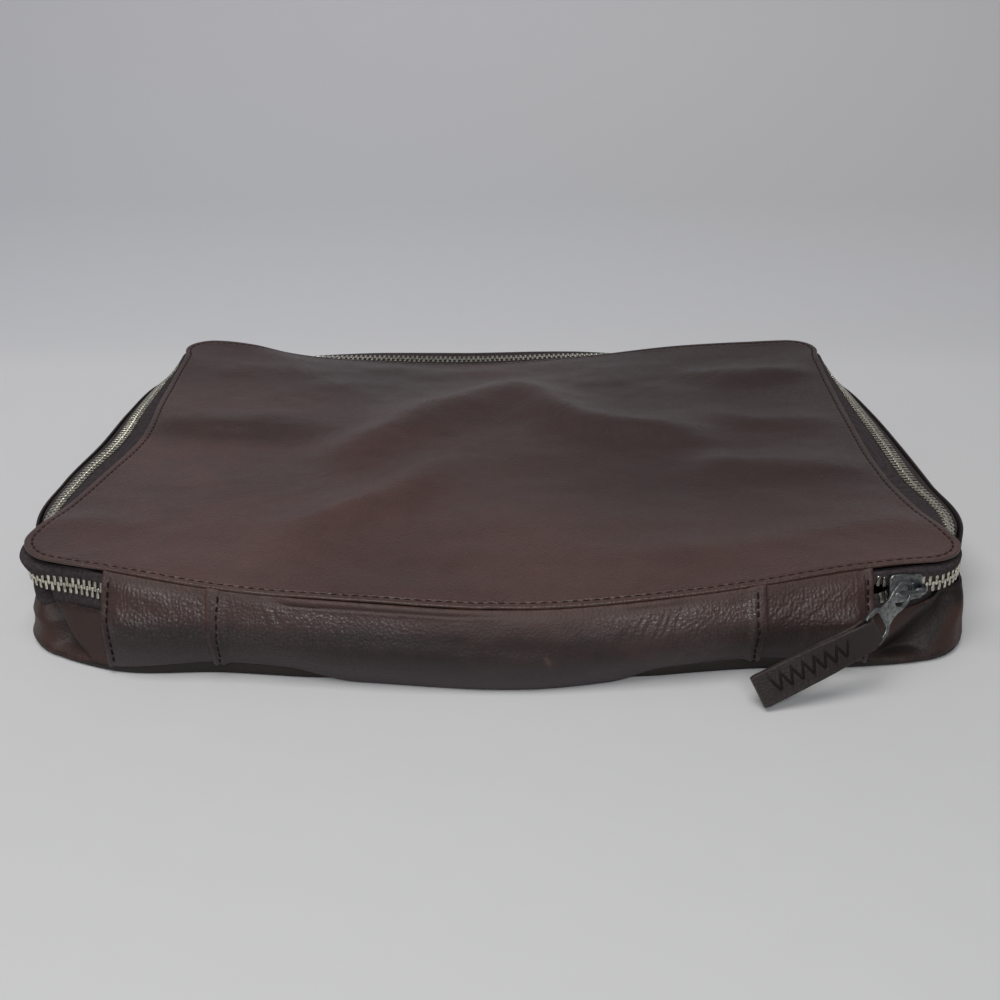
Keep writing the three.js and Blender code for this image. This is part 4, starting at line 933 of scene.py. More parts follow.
def build_gusset():
    s = spaced(ZIP_END_X + GAP, ROUND - ZIP_END_X - GAP, 2.0, 0.8, (170, station("corner", 1), station("corner", 2), ROUND - 170), 26)
    rows = np.concatenate([np.linspace(1, 0, 20), np.linspace(0, -1, 15)[1:]])
    sec, z = wall_rows(s, rows)
    out = belly_out(sec, s[:, None], z)
    ss = s[:, None]
    free = smooth(1 - np.abs(rows), 0, 0.25)[None, :]
    still = 1 - 0.8 * gauss((ss - station("corner", 3)) / 17)
    out = out + free * still * (0.30 * noise(ss / 11, z / 17, 21) + 0.14 * noise(ss / 4.2, z / 8, 22))
    out = out - draw_in(ss, z)
    corner = sum(gauss((ss - station("corner", k)) / 20) for k in range(4))
    out = out + free * still * corner * 0.35 * noise(ss / 3.4, z / 22, 23)
    # The top edge stands a little higher beside the left end patch.
    z = z + 2.4 * gauss((ss - ROUND + ZIP_END_X) / 13) * smooth(rows, 0.1, 1.0)[None, :]
    grid = place(ss, out, z)
    v, f, rim = shell(grid, LEATHER - 0.1, 0.4)
    # Painted shade: along the sides and the back the top edge is dark, as in the shadow of the tape, and so is the
    # inside face there.
    nt = len(rows)
    painted_shade = np.zeros((len(s) + 2, 2 * nt + 2))
    down = np.cumsum(np.linalg.norm(np.diff(grid, axis=1, prepend=grid[:, :1]), axis=2), 1)
    side = smooth(s, 168, 186) * (1 - smooth(s, ROUND - 204, ROUND - 190))
    low = 7.5 + 7.0 * gauss((ss - 180) / 16)
    painted_shade[1:-1, :nt] = side[:, None] * (1 - smooth(down, 0.4 * low, low))
    painted_shade[1:-1, nt + 1:2 * nt + 2] = side[:, None]
    # Painted shade in the folds, darker where they are deeper, and under the tape at the right front corner.
    valley = 0.92 * np.clip(fold_depth(ss, z) / 7.5, 0, 1) ** np.where(ss < ROUND / 2, 1.0, 1.15) + 0.6 * gauss((ss - 168) / 20)
    # Painted shade in the crease at the left front corner, and in the wedge between it and the patch.
    beside = ss - (ROUND - 177 + (24 - z))
    left = smooth(ss, ROUND - 200, ROUND - 190) * smooth(z, 4, 8)
    valley = np.minimum(valley + left * (0.8 * gauss((beside - 0.4) / 1.7) + 0.32 * smooth(beside, -0.5, 2.5)), 0.95)
    painted_shade[1:-1, :nt] = np.maximum(painted_shade[1:-1, :nt], valley)
    return make("gusset_leather", v, f, M_WALL, "case", "gusset", 60, {"rim": rim, "painted_shade": painted_shade})


def spine_grid(s, rows, lift, keys, grooves):
    line = lines(spine_ctrl(s), rows)
    flat = np.cumsum(np.linalg.norm(np.diff(line, axis=1, prepend=line[:, :1]), axis=2), 1)
    xs = x_of(s)[:, None]
    full = 3.0 * (1 - 1.15 * gauss((xs - 8) / 36)) + 0.6 * noise(xs / 30, 0 * xs + 0.5, 101)
    shoulder = full * np.sin(math.pi * np.clip(flat / (0.95 * flat[:, -1:]), 0, 1)) ** 2
    shoulder = shoulder * smooth(ZIP_END_X - np.abs(xs), 0.0, 7.0)
    raw = place(s[:, None], line[..., 0] + shoulder, line[..., 1])
    n = unit(np.cross(np.gradient(raw, axis=1), np.gradient(raw, axis=0)))
    arc = np.cumsum(np.linalg.norm(np.diff(raw, axis=1, prepend=raw[:, :1]), axis=2), 1)
    x = x_of(s)[:, None] + 0 * arc
    warp_x = x + 0.5 * noise(x / 3.1, arc / 3.1, keys)
    warp_y = arc + 0.5 * noise(x / 3.1, arc / 3.1, keys + 1)
    g = pebble(warp_x / 1.6, warp_y / 1.5, keys + 2)
    g2 = pebble(warp_x / 1.05, warp_y / 0.95, keys + 3)
    grain = 0.72 * g + 0.28 * g2
    strength = 0.8 + 0.5 * noise(x / 14, arc / 9, keys + 4) + 0.7 * smooth(np.abs(x), 95, 118) * (1 - smooth(arc, 16, 26))
    edge = np.minimum(arc, arc[:, -1:] - arc)
    calm = smooth(edge, 0.2, 2.0) * (0.12 + 0.88 * smooth(arc, 1.5, 6.0))
    lumps = 0.22 * noise(x / 9, arc / 7, keys + 5) + 0.4 * noise(x / 24, arc / 15, keys + 6)
    crease = np.zeros_like(x)
    for cx, ca, turn, long_, wide, deep in CREASES:
        a = math.radians(turn)
        u = (x - cx) * math.cos(a) + (arc - ca) * math.sin(a)
        w = (arc - ca) * math.cos(a) - (x - cx) * math.sin(a)
        crease = crease + deep * gauss(u / long_) * gauss(w / wide)
    high = lift + calm * (0.3 * strength * (grain - 0.5) + lumps + crease)
    for x_top, x_low in grooves:
        d = x - (x_top + (x_low - x_top) * np.clip((arc - 2) / 32, 0, 1))
        high = high - smooth(arc, 1.0, 3.0) * (0.42 * gauss(d / 0.6) - 0.16 * gauss((np.abs(d) - 1.4) / 0.6))
    # A folded rim along the upper edge, with a groove below it.
    m = mouth(x_of(s))[:, None]
    high = high + m * (0.3 * gauss((arc - 1.0) / 0.9) - 0.45 * gauss((arc - 2.5) / 0.4) + 0.25 * gauss((arc - 3.3) / 0.5))
    dull = 1 - 0.85 * gauss((x - 8) / 42) - 0.26 * smooth(x, 100, 112) - 0.12 * smooth(-x, 100, 112)
    scuff = gauss((x - 23.4 - 0.25 * (arc - 20)) / 1.1) * gauss((arc - 20) / 1.8)
    return raw + n * high[..., None], n, arc, (grain * calm + 0.3 * (1 - calm)) * dull, scuff


# Creases of the spine: x, distance below the top edge, direction, half length,
# half width, depth.
CREASES = [
    (58, 8, -60, 6, 0.7, -0.16), (61, 9, -64, 7, 0.6, -0.2), (63.5, 7, -66, 6, 0.6, -0.18), (66, 8, -66, 7, 0.6, -0.22),
    (69, 8, -70, 6, 0.7, -0.2), (72, 9, -72, 6, 0.6, -0.16), (54, 9, -54, 6, 0.7, -0.14),
    (-80, 6, 60, 7, 1.0, -0.16), (-84, 8, 66, 8, 0.9, -0.14),
    (112, 10, -38, 6, 0.7, -0.16), (117, 12, -42, 8, 0.7, -0.18), (122, 9, -40, 6, 0.6, -0.14), (125, 14, -30, 7, 0.8, -0.18),
    (131, 10, -46, 6, 0.7, -0.14), (136, 14, -36, 6, 0.8, -0.16), (114, 17, -24, 7, 0.8, -0.16),
    (-118, 12, 70, 5, 0.8, -0.14), (-130, 10, 40, 5, 0.8, -0.14),
    (20, 16, 4, 40, 3.0, -0.4), (-40, 14, -3, 36, 3.0, -0.3),
]


def spine_piece(name, node, a, b, lift_of, key, grooves, step=0.6, rows=64):
    s = np.linspace(a, b, int((b - a) / step) + 2)
    lift = lift_of(x_of(s))[:, None]
    grid, n, arc, grain, scuff = spine_grid(s, rows, lift, key, grooves)
    v, f, rim = shell(grid, 1.5, 0.45)
    ns, nt = grid.shape[:2]
    g = np.full((ns + 2, 2 * nt + 2), 0.5)
    g[1:-1, :nt] = grain
    c = np.zeros((ns + 2, 2 * nt + 2))
    c[1:-1, :nt] = scuff
    o = make(name, v, f, M_SPINE, "case", node, 60, {"rim": rim, "grain": g, "scuff": c})
    return o, s, grid, n, arc


def seam(s_line, arcs, s, grid, normal, arc, size=0.82):
    """Stitches down a piece, at given stations and distances below its top."""
    pts, ups = [], []
    for sv, av in zip(s_line, arcs):
        i = int(np.clip(np.searchsorted(s, sv), 0, len(s) - 1))
        k = int(np.clip(np.searchsorted(arc[i], av), 0, arc.shape[1] - 1))
        pts.append(grid[i, k])
        ups.append(normal[i, k])
    pts, ups = np.array(pts), np.array(ups)
    a, b = pts[0::2], pts[1::2]
    m = min(len(a), len(b))
    a, b, up = a[:m], b[:m], unit(ups[0::2][:m] + ups[1::2][:m])
    along = unit(b - a)
    side = unit(np.cross(along, up))
    up = np.cross(side, along)
    return bars((a + b) / 2 + up * 0.12, along, side, up, np.linalg.norm(b - a, axis=1), size, 0.6, 0.3)


def seam_down(x_top, x_low, first, last, s, grid, normal, arc, pitch=3.4, long_=2.6):
    starts = np.arange(first, last, pitch)
    arcs = np.stack([starts, starts + long_], 1).reshape(-1)
    t = (arcs - first) / max(last - first, 1)
    return seam(x_top + (x_low - x_top) * t, arcs, s, grid, normal, arc)


def build_spine():
    def over(x):
        ax = np.abs(x)
        return 0.15 + 1.2 * smooth(ax, 99.0, 102.8) + 0.25 * gauss((ax - 105.2) / 1.0)

    def patch(x):
        ax = np.abs(x)
        return 0.1 + 0.75 * smooth(ax, 144.5, 148.0) + 0.25 * gauss((ax - 147.2) / 1.4)

    o1, s1, g1, n1, a1 = spine_piece("spine_leather", "spine", -105.9, 105.9, over, 41, ((-102.0, -103.8), (102.4, 103.6)))
    o2, s2, g2, n2, a2 = spine_piece("spine_end_right_leather", "spine_end_right", 101.5, ZIP_END_X - 0.3, patch, 61, ((ZIP_END_X - 2.6, ZIP_END_X - 2.2),), 0.4, 64)
    o3, s3, g3, n3, a3 = spine_piece("spine_end_left_leather", "spine_end_left", ROUND - ZIP_END_X + 0.5, ROUND - 101.5, patch, 81, ((2.4 - ZIP_END_X, 2.4 - ZIP_END_X),), 0.4, 64)
    parts = [
        seam_down(-102.0, -103.8, 2.0, 34, s1, g1, n1, a1),
        seam_down(102.4, 103.6, 2.0, 34, s1, g1, n1, a1),
        seam_down(ZIP_END_X - 2.6, ZIP_END_X - 2.2, 3.5, 37, s2, g2, n2, a2),
        seam_down(ROUND - ZIP_END_X + 2.4, ROUND - ZIP_END_X + 2.4, 3.5, 37, s3, g3, n3, a3),
    ]
    v, f = join(parts)
    make("spine_stitches", v, f, M_THREAD, "case", None, 60)
    return o1, o2, o3


# ------------------------------------------------------------------------ zip
def chain_frame(s):
    sec = section(s)
    up, lo = place(s, sec["upO"], sec["upZ"]), place(s, sec["loO"], sec["loZ"])
    ahead, behind = section(s + 1.0), section(s - 1.0)
    mid_a = (place(s + 1.0, ahead["upO"], ahead["upZ"]) + place(s + 1.0, ahead["loO"], ahead["loZ"])) / 2
    mid_b = (place(s - 1.0, behind["upO"], behind["upZ"]) + place(s - 1.0, behind["loO"], behind["loZ"])) / 2
    across = unit(lo - up)
    along = unit(mid_a - mid_b)
    n = unit(np.cross(across, along))
    across = np.cross(along, n)
    return (up + lo) / 2, along, across, n


def opening(s):
    """How far the two tapes part before the slider, at the zip's right end."""
    return 1.65 * (1 - smooth(s, 150.0, 158.5))


def build_tapes():
    s = spaced(ZIP_END_X - 1.5, ROUND - ZIP_END_X + 1.5, 1.9, 0.9, (160, station("corner", 1), station("corner", 2), ROUND - 165), 24)
    sec = section(s)
    d_o, d_z = sec["loO"] - sec["upO"], sec["loZ"] - sec["upZ"]
    length = np.hypot(d_o, d_z)
    e_o, e_z = d_o / length, d_z / length
    half = length / 2 - 0.35 - opening(s)
    under = sec["topZ"] - PANEL - GAP
    lev = np.stack([sec["upO"] - TAPE_FLAT * e_o, np.minimum(under - 0.2, sec["upZ"] - TAPE_FLAT * e_z)], -1)
    edge_o = np.minimum(sec["topO"] - 0.6, lev[:, 0] - 0.8)
    up = np.stack([sec["upO"], sec["upZ"]], -1)
    lo = np.stack([sec["loO"], sec["loZ"]], -1)
    e = np.stack([e_o, e_z], -1)
    ctrl = np.stack([np.stack([edge_o - TAPE_TUCK, under - 1.7], -1),
                     np.stack([edge_o, np.minimum(under - 0.5, lev[:, 1] + 0.6)], -1), lev, up, up + e * half[:, None]], 1)
    line = lines(ctrl, 18)
    ripple = 0.16 * noise(s[:, None] / 9, np.arange(18)[None] / 6.0, 91)
    full = np.sin(np.linspace(0, math.pi, 18))[None] ** 0.7
    ripple = ripple + full * (2.3 * gauss((s - station("corner", 3)) / 13) + 1.0 * gauss((s - station("corner", 0)) / 12))[:, None]
    grid = place(s[:, None], line[..., 0] + ripple, line[..., 1])
    v, f, rim = shell(grid, TAPE - 0.1, 0.3)
    upper = make("zip_tape_upper_cloth", v, f, M_TAPE, "case", "zip_tape_upper", 60, {"rim": rim})

    def behind(z):
        zz = np.minimum(z, sec["gusZ"])
        return np.minimum(belly_out(sec, s, zz), sec["gusO"]) - LEATHER - GAP - 0.3

    lev = np.stack([np.minimum(sec["loO"] + TAPE_FLAT * e_o, behind(sec["gusZ"])), sec["loZ"] + TAPE_FLAT * e_z], -1)
    turn = np.minimum(sec["gusZ"] + 0.4, lev[:, 1] - 0.5)
    tuck = sec["gusZ"] - TAPE_TUCK
    ctrl = np.stack([lo - e * half[:, None], lo, lev, np.stack([behind(turn), turn], -1), np.stack([behind(tuck), tuck], -1)], 1)
    line = lines(ctrl, 18)
    grid = place(s[:, None], line[..., 0], line[..., 1])
    v, f, rim = shell(grid, TAPE - 0.1, 0.3)
    lower = make("zip_tape_lower_cloth", v, f, M_TAPE, "case", "zip_tape_lower", 60, {"rim": rim})
    return upper, lower


# Half outline of a tooth: distance from its middle line, distance towards the
# other row.
TOOTH = [(0.52, -3.35), (0.7, -3.0), (0.72, -2.2), (0.66, -1.3), (0.56, -0.8), (0.69, -0.35), (0.67, 0.35), (0.42, 0.8)]


def build_teeth():
    start, stop = SLIDER_X + 4.6, ROUND - ZIP_END_X - 0.6
    # Equal steps along the middle of the chain itself, not along the guide.
    fine = np.linspace(start, stop, 6000)
    mid, *_ = chain_frame(fine)
    run = np.concatenate([[0], np.cumsum(np.linalg.norm(np.diff(mid, axis=0), axis=1))])
    count = int(run[-1] / TOOTH_PITCH * 2)
    at = np.interp(run[-1] - np.arange(count) * TOOTH_PITCH / 2, run, fine)
    row = np.where(np.arange(count) % 2 == 0, 1.0, -1.0)
    apart = np.zeros(count)
    tilt = np.zeros(count)
    # Two pairs stand open between the end patch and the slider.
    at = np.concatenate([at, [150.2, 150.9, 153.0, 153.7]])
    row = np.concatenate([row, [1, -1, 1, -1]])
    apart = np.concatenate([apart, [2.1, 2.1, 1.5, 1.5]])
    tilt = np.concatenate([tilt, [0.22, 0.22, 0.16, 0.16]])
    mid, along, across, n = chain_frame(at)
    k = np.arange(len(at)).astype(float)
    tilt = tilt * row + 0.035 * noise(k * 0.83, k * 0 + 0.5, 95)
    a2 = along * np.cos(tilt)[:, None] + across * np.sin(tilt)[:, None]
    c2 = np.cross(a2, n) * -1
    flip = (c2 * across).sum(1) < 0
    c2[flip] *= -1
    head = c2 * row[:, None]
    centre = mid - n * (TAPE / 2) - head * apart[:, None]
    outline = np.array(TOOTH + [(-x, y) for x, y in reversed(TOOTH)])
    levels = [(-1.3, 0.78), (-1.08, 1.0), (1.0, 1.0), (1.2, 0.93), (1.3, 0.74)]
    rings = []
    for high, size in levels:
        q = np.c_[outline[:, 0] * size, outline[:, 1] * (1 - (1 - size) * 0.35)]
        rings.append(centre[:, None] + a2[:, None] * q[None, :, 0, None] + head[:, None] * q[None, :, 1, None] + n[:, None] * high)
    p = np.stack(rings, 1)
    cnt, lv, m = p.shape[:3]
    one = ring_faces(lv, m, False)
    step = (np.arange(cnt) * lv * m)[:, None, None]
    flipped = row < 0
    quads = one[None] + step
    cap0 = np.arange(m)[::-1][None] + step[:, 0]
    cap1 = (np.arange(m) + (lv - 1) * m)[None] + step[:, 0]
    quads[flipped] = quads[flipped][:, :, ::-1]
    cap0[flipped] = cap0[flipped][:, ::-1]
    cap1[flipped] = cap1[flipped][:, ::-1]
    wear = np.zeros((cnt, lv, m))
    wear[:, 3:] = 1.0
    wear[:, 2] = 0.5
    return make("zip_teeth_metal", p.reshape(-1, 3), [quads.reshape(-1, 4), cap0, cap1], M_TEETH, "case", "zip_teeth", 35, {"rim": wear})


# --------------------------------------------------------------- slider, pull
def slider_frame():
    def middle(sv):
        s = np.array([sv])
        m, al, ac, n = chain_frame(s)
        return m[0] - n[0] * TAPE / 2

    s = np.array([SLIDER_X])
    sec = section(s)
    at = middle(SLIDER_X)
    along = unit(middle(SLIDER_X + 2.5) - middle(SLIDER_X - 4.5))
    across = unit(place(s, sec["upO"], sec["upZ"])[0] - place(s, sec["loO"], sec["loZ"])[0])
    out = unit(np.cross(along, across))
    across = np.cross(out, along)
    return at, along, across, out


S_AT, S_ALONG, S_ACROSS, S_OUT = slider_frame()
BODY_HALF = CHAIN_THICK / 2 + GAP + SLIDER_PLATE
BRIDGE_AT = S_AT + S_OUT * (BODY_HALF + BRIDGE_LIFT) + S_ALONG * PULL_SHIFT
AWAY = unit(np.array([-0.66, -0.63, -0.41]))
_bar = unit(S_ALONG - AWAY * (S_ALONG @ AWAY))
FACE = unit(np.cross(AWAY, _bar) * math.cos(math.radians(PULL_SKEW)) + _bar * math.sin(math.radians(PULL_SKEW)))
RIGHT = unit(np.cross(-AWAY, FACE))


def build_slider():
    half = SLIDER_LENGTH / 2
    w, nrw = SLIDER_WIDE / 2, SLIDER_NARROW / 2
    outline = rounded([(-half, -w + 1.2), (-half + 1.4, -w), (-half + 5.5, -w), (half - 3.5, -nrw), (half - 0.8, -nrw), (half, -nrw + 1.0),
                       (half, nrw - 1.0), (half - 0.8, nrw), (half - 3.5, nrw), (-half + 5.5, w), (-half + 1.4, w), (-half, w - 1.2)], 1.6, 5)
    parts = [prism(outline, BODY_HALF - SLIDER_PLATE, BODY_HALF, 0.5)]
    inner = outline.copy()
    inner[:, 1] = np.clip(inner[:, 1], -w, 4.3)
    parts.append(prism(inner, -BODY_HALF, -BODY_HALF + SLIDER_PLATE - 0.1, 0.4))
    # Side walls under the outer plate, down to the tape.
    for side in (-1, 1):
        rail = [(-half + 0.8, side * (w - 1.9)), (-half + 1.2, side * (w - 0.25)), (-half + 5.4, side * (w - 0.25)), (half - 3.4, side * (nrw - 0.25)),
                (half - 0.5, side * (nrw - 0.25)), (half - 0.4, side * (nrw - 1.3)), (half - 3.6, side * (nrw - 1.3)), (-half + 5.2, side * (w - 1.4))]
        parts.append(prism(rounded(rail, 0.4, 3), 1.0, BODY_HALF - 0.4, 0.25))
    # The wedge that parts the teeth.
    parts.append(prism(rounded([(-half + 0.3, -1.5), (-half + 3.8, -1.3), (-half + 6.0, 0), (-half + 3.8, 1.3), (-half + 0.3, 1.5)], 0.5, 4), -BODY_HALF + 0.3, BODY_HALF - 0.3, 0.2))
    # Raised seat under the bridge.
    parts.append(prism(rounded([(1.8, -1.9), (6.0, -1.9), (6.0, 1.9), (1.8, 1.9)], 0.9, 4), BODY_HALF - 0.3, BODY_HALF + 0.55, 0.3))
    # Bridge: a flat strap that rises at the right and runs left over the plate.
    top = BODY_HALF + BRIDGE_LIFT
    path = np.array([(BRIDGE_RIGHT - 0.4, BODY_HALF - 0.6), (BRIDGE_RIGHT - 0.1, BODY_HALF + 1.2), (BRIDGE_RIGHT + 0.05, top - 2.6), (BRIDGE_RIGHT - 0.35, top - 1.0),
                     (BRIDGE_RIGHT - 1.6, top - 0.12), (BRIDGE_RIGHT - 4.0, top), (-2.0, top), (BRIDGE_LEFT + 0.6, top), (BRIDGE_LEFT - 0.6, top - 0.05)])
    path = lines(path[None], 46)[0]
    t = unit(np.gradient(path, axis=0))
    nn = np.stack([-t[:, 1], t[:, 0]], 1)
    a = np.linspace(0, 2 * math.pi, 16, endpoint=False)
    sq = 0.62
    cy = np.sign(np.cos(a)) * np.abs(np.cos(a)) ** sq
    cn = np.sign(np.sin(a)) * np.abs(np.sin(a)) ** sq
    size = np.ones(len(path))
    size[-4:] = [0.97, 0.9, 0.74, 0.4]
    # Narrow where the pull turns on it.
    wide = (0.85 + 0.65 * smooth(path[:, 0], -0.2, 1.6) + 0.2 * (1 - smooth(np.arange(len(path)), 6, 18))) * size
    thick = 0.68 * size
    ring = np.stack([path[:, None, 0] + nn[:, None, 0] * cn[None] * thick[:, None],
                     cy[None] * wide[:, None] + 0 * path[:, None, 0],
                     path[:, None, 1] + nn[:, None, 1] * cn[None] * thick[:, None]], -1)
    parts.append((ring.reshape(-1, 3), [ring_faces(len(path), 16, False), np.arange(16)[None, ::-1].copy(), (np.arange(16) + (len(path) - 1) * 16)[None]]))
    v, f = join(parts)
    world = S_AT + v[:, :1] * S_ALONG + v[:, 1:2] * S_ACROSS + v[:, 2:] * S_OUT
    wear = smooth(v[:, 2], BODY_HALF - 0.6, BODY_HALF) * smooth(np.maximum(np.abs(v[:, 0]) - half + 1.4, np.abs(v[:, 1]) - nrw + 1.0), 0, 1.0)
    wear = np.maximum(wear, smooth(v[:, 2], top + 0.1, top + 0.6) * smooth(np.abs(v[:, 1]), 0.5, 1.1))
    return make("zip_slider_metal", world, f, M_METAL, "case", "zip_slider", 35, {"rim": wear * 0.8})


def arc_points(cx, cy, rx, ry, a0, a1, n):
    a = np.radians(np.linspace(a0, a1, n))
    return [(cx + rx * math.cos(t), cy + ry * math.sin(t)) for t in a]


def quad_points(p, q, r, n=8):
    t = np.linspace(0, 1, n)[:, None]
    p, q, r = (np.array(v, float) for v in (p, q, r))
    return ((1 - t) ** 2 * p + 2 * t * (1 - t) * q + t**2 * r).tolist()


def build_pull():
    eye_x, eye_top, eye_low, rim = 3.8, 4.0, -5.9, 1.25
    end = -PULL_REACH - 1.2
    slot_top, slot_low, slot_half = end + 6.2, end + 2.0, 5.5
    mid = (eye_top + eye_low) / 2
    pts = quad_points((-slot_half - 1.5, end + 1.2), (-slot_half - 1.5, end), (-slot_half - 0.3, end))
    pts += quad_points((slot_half + 0.3, end), (slot_half + 1.5, end), (slot_half + 1.5, end + 1.2))
    pts += quad_points((slot_half + 1.35, slot_top - 0.2), (slot_half + 1.1, slot_top + 1.4), (slot_half - 0.4, slot_top + 2.3), 6)
    pts += quad_points((slot_half - 0.5, slot_top + 2.4), (3.9, slot_top + 3.4), (4.1, eye_low - 1.0), 12)
    pts += quad_points((4.15, eye_low - 0.8), (eye_x + rim, eye_low + 1.4), (eye_x + rim, mid + 0.55), 10)
    pts += arc_points(0, mid + 0.6, eye_x + rim, (eye_top - eye_low) / 2 + rim - 0.6, 1, 179, 30)
    pts += quad_points((-eye_x - rim, mid + 0.55), (-eye_x - rim, eye_low + 1.4), (-4.15, eye_low - 0.8), 10)
    pts += quad_points((-4.1, eye_low - 1.0), (-3.9, slot_top + 3.4), (-slot_half + 0.5, slot_top + 2.4), 12)
    pts += quad_points((-slot_half + 0.4, slot_top + 2.3), (-slot_half - 1.1, slot_top + 1.4), (-slot_half - 1.35, slot_top - 0.2), 6)
    eye = arc_points(0, mid, eye_x, (eye_top - eye_low) / 2, 0, -354, 44)
    slot = rounded([(-slot_half, slot_low), (-slot_half + 0.3, slot_top - 0.4), (-slot_half + 2.0, slot_top + 1.1), (slot_half - 2.0, slot_top + 1.1), (slot_half - 0.3, slot_top - 0.4), (slot_half, slot_low)], 0.8, 4).tolist()
    curve = bpy.data.curves.new("pull_outline", "CURVE")
    curve.dimensions = "2D"
    curve.fill_mode = "BOTH"
    bevel = 0.32
    curve.extrude = PULL_THICK / 2 - bevel
    curve.bevel_depth = bevel
    curve.bevel_resolution = 3
    curve.offset = -bevel
    for loop in (pts, eye, slot):
        sp = curve.splines.new("POLY")
        sp.points.add(len(loop) - 1)
        for q, (x, y) in zip(sp.points, loop):
            q.co = (x, y, 0, 1)
        sp.use_cyclic_u = True
    tmp = bpy.data.objects.new("pull_outline", curve)
    bpy.context.scene.collection.objects.link(tmp)
    bpy.context.view_layer.update()
    me = tmp.evaluated_get(bpy.context.evaluated_depsgraph_get()).to_mesh()
    v = np.zeros(len(me.vertices) * 3, np.float32)
    me.vertices.foreach_get("co", v)
    v = v.reshape(-1, 3).astype(float)
    polys = [list(p.vertices) for p in me.polygons]
    bpy.data.objects.remove(tmp)
    bpy.data.curves.remove(curve)
    # Coincident points of the bevel and the fill become one.
    key = np.round(v, 4)
    uniq, back = np.unique(key, axis=0, return_inverse=True)
    back = np.asarray(back).reshape(-1)
    by_size = {}
    for p in polys:
        q = []
        for i in p:
            j = int(back[i])
            if not q or (q[-1] != j):
                q.append(j)
        if len(q) > 2 and q[0] == q[-1]:
            q = q[:-1]
        if len(set(q)) == len(q) and len(q) > 2:
            by_size.setdefault(len(q), []).append(q)
    faces = [np.array(x) for x in by_size.values()]
    v = uniq
    # The plate's lower end is a little thicker, and its waist a little thinner.
    v = v.copy()
    v[:, 2] *= 1 - 0.12 * gauss((v[:, 1] + 9) / 4)
    world = BRIDGE_AT + v[:, :1] * RIGHT - v[:, 1:2] * AWAY + v[:, 2:] * FACE
    wear = 1 - smooth(np.abs(np.abs(v[:, 2]) - PULL_THICK / 2 + 0.12), 0.0, 0.32)
    flat = np.abs(v[:, 2]) > PULL_THICK / 2 * 0.97
    wear = np.where(flat, 0.35, wear)
    return make("zip_pull_metal", world, faces, M_METAL, "pull", "zip_pull", 40, {"rim": wear * 0.75})


# --------------------------------------------------------------------- tab
TIP = np.array([101.2, -171.2, 6.1])
TIP_ACROSS = np.array([-0.43, 0.40, 0.81])
SLOT_AT = BRIDGE_AT + AWAY * (PULL_REACH + 0.2)
BEND = SLOT_AT + AWAY * 4


def _tab_curve(u):
    u = np.asarray(u, float)[..., None]
    return (1 - u) ** 2 * SLOT_AT + 2 * u * (1 - u) * BEND + u**2 * TIP


_u = np.linspace(0, 1, 400)
_p = _tab_curve(_u)
_run = np.concatenate([[0], np.cumsum(np.linalg.norm(np.diff(_p, axis=0), axis=1))])
TAB_LENGTH = float(_run[-1])


def tab_frame(along):
    along = np.asarray(along, float)
    share = np.clip(along / TAB_LENGTH, 0, 1)
    u = np.interp(share * TAB_LENGTH, _run, _u)
    at = _tab_curve(u)
    un = u[..., None]
    heading = unit(2 * (1 - un) * (BEND - SLOT_AT) + 2 * un * (TIP - BEND))
    at = at + heading * (along - share * TAB_LENGTH)[..., None]
    ease = smooth(share, 0, 0.7)[..., None]
    across = -RIGHT * (1 - ease) + TIP_ACROSS * ease
    across = unit(across - heading * (across * heading).sum(-1, keepdims=True))
    return at, across, unit(np.cross(across, heading))


ZIG_FROM, ZIG_TO, ZIG_COUNT, ZIG_HALF = 11.0, TAB_LENGTH - 6.0, 14, 3.0


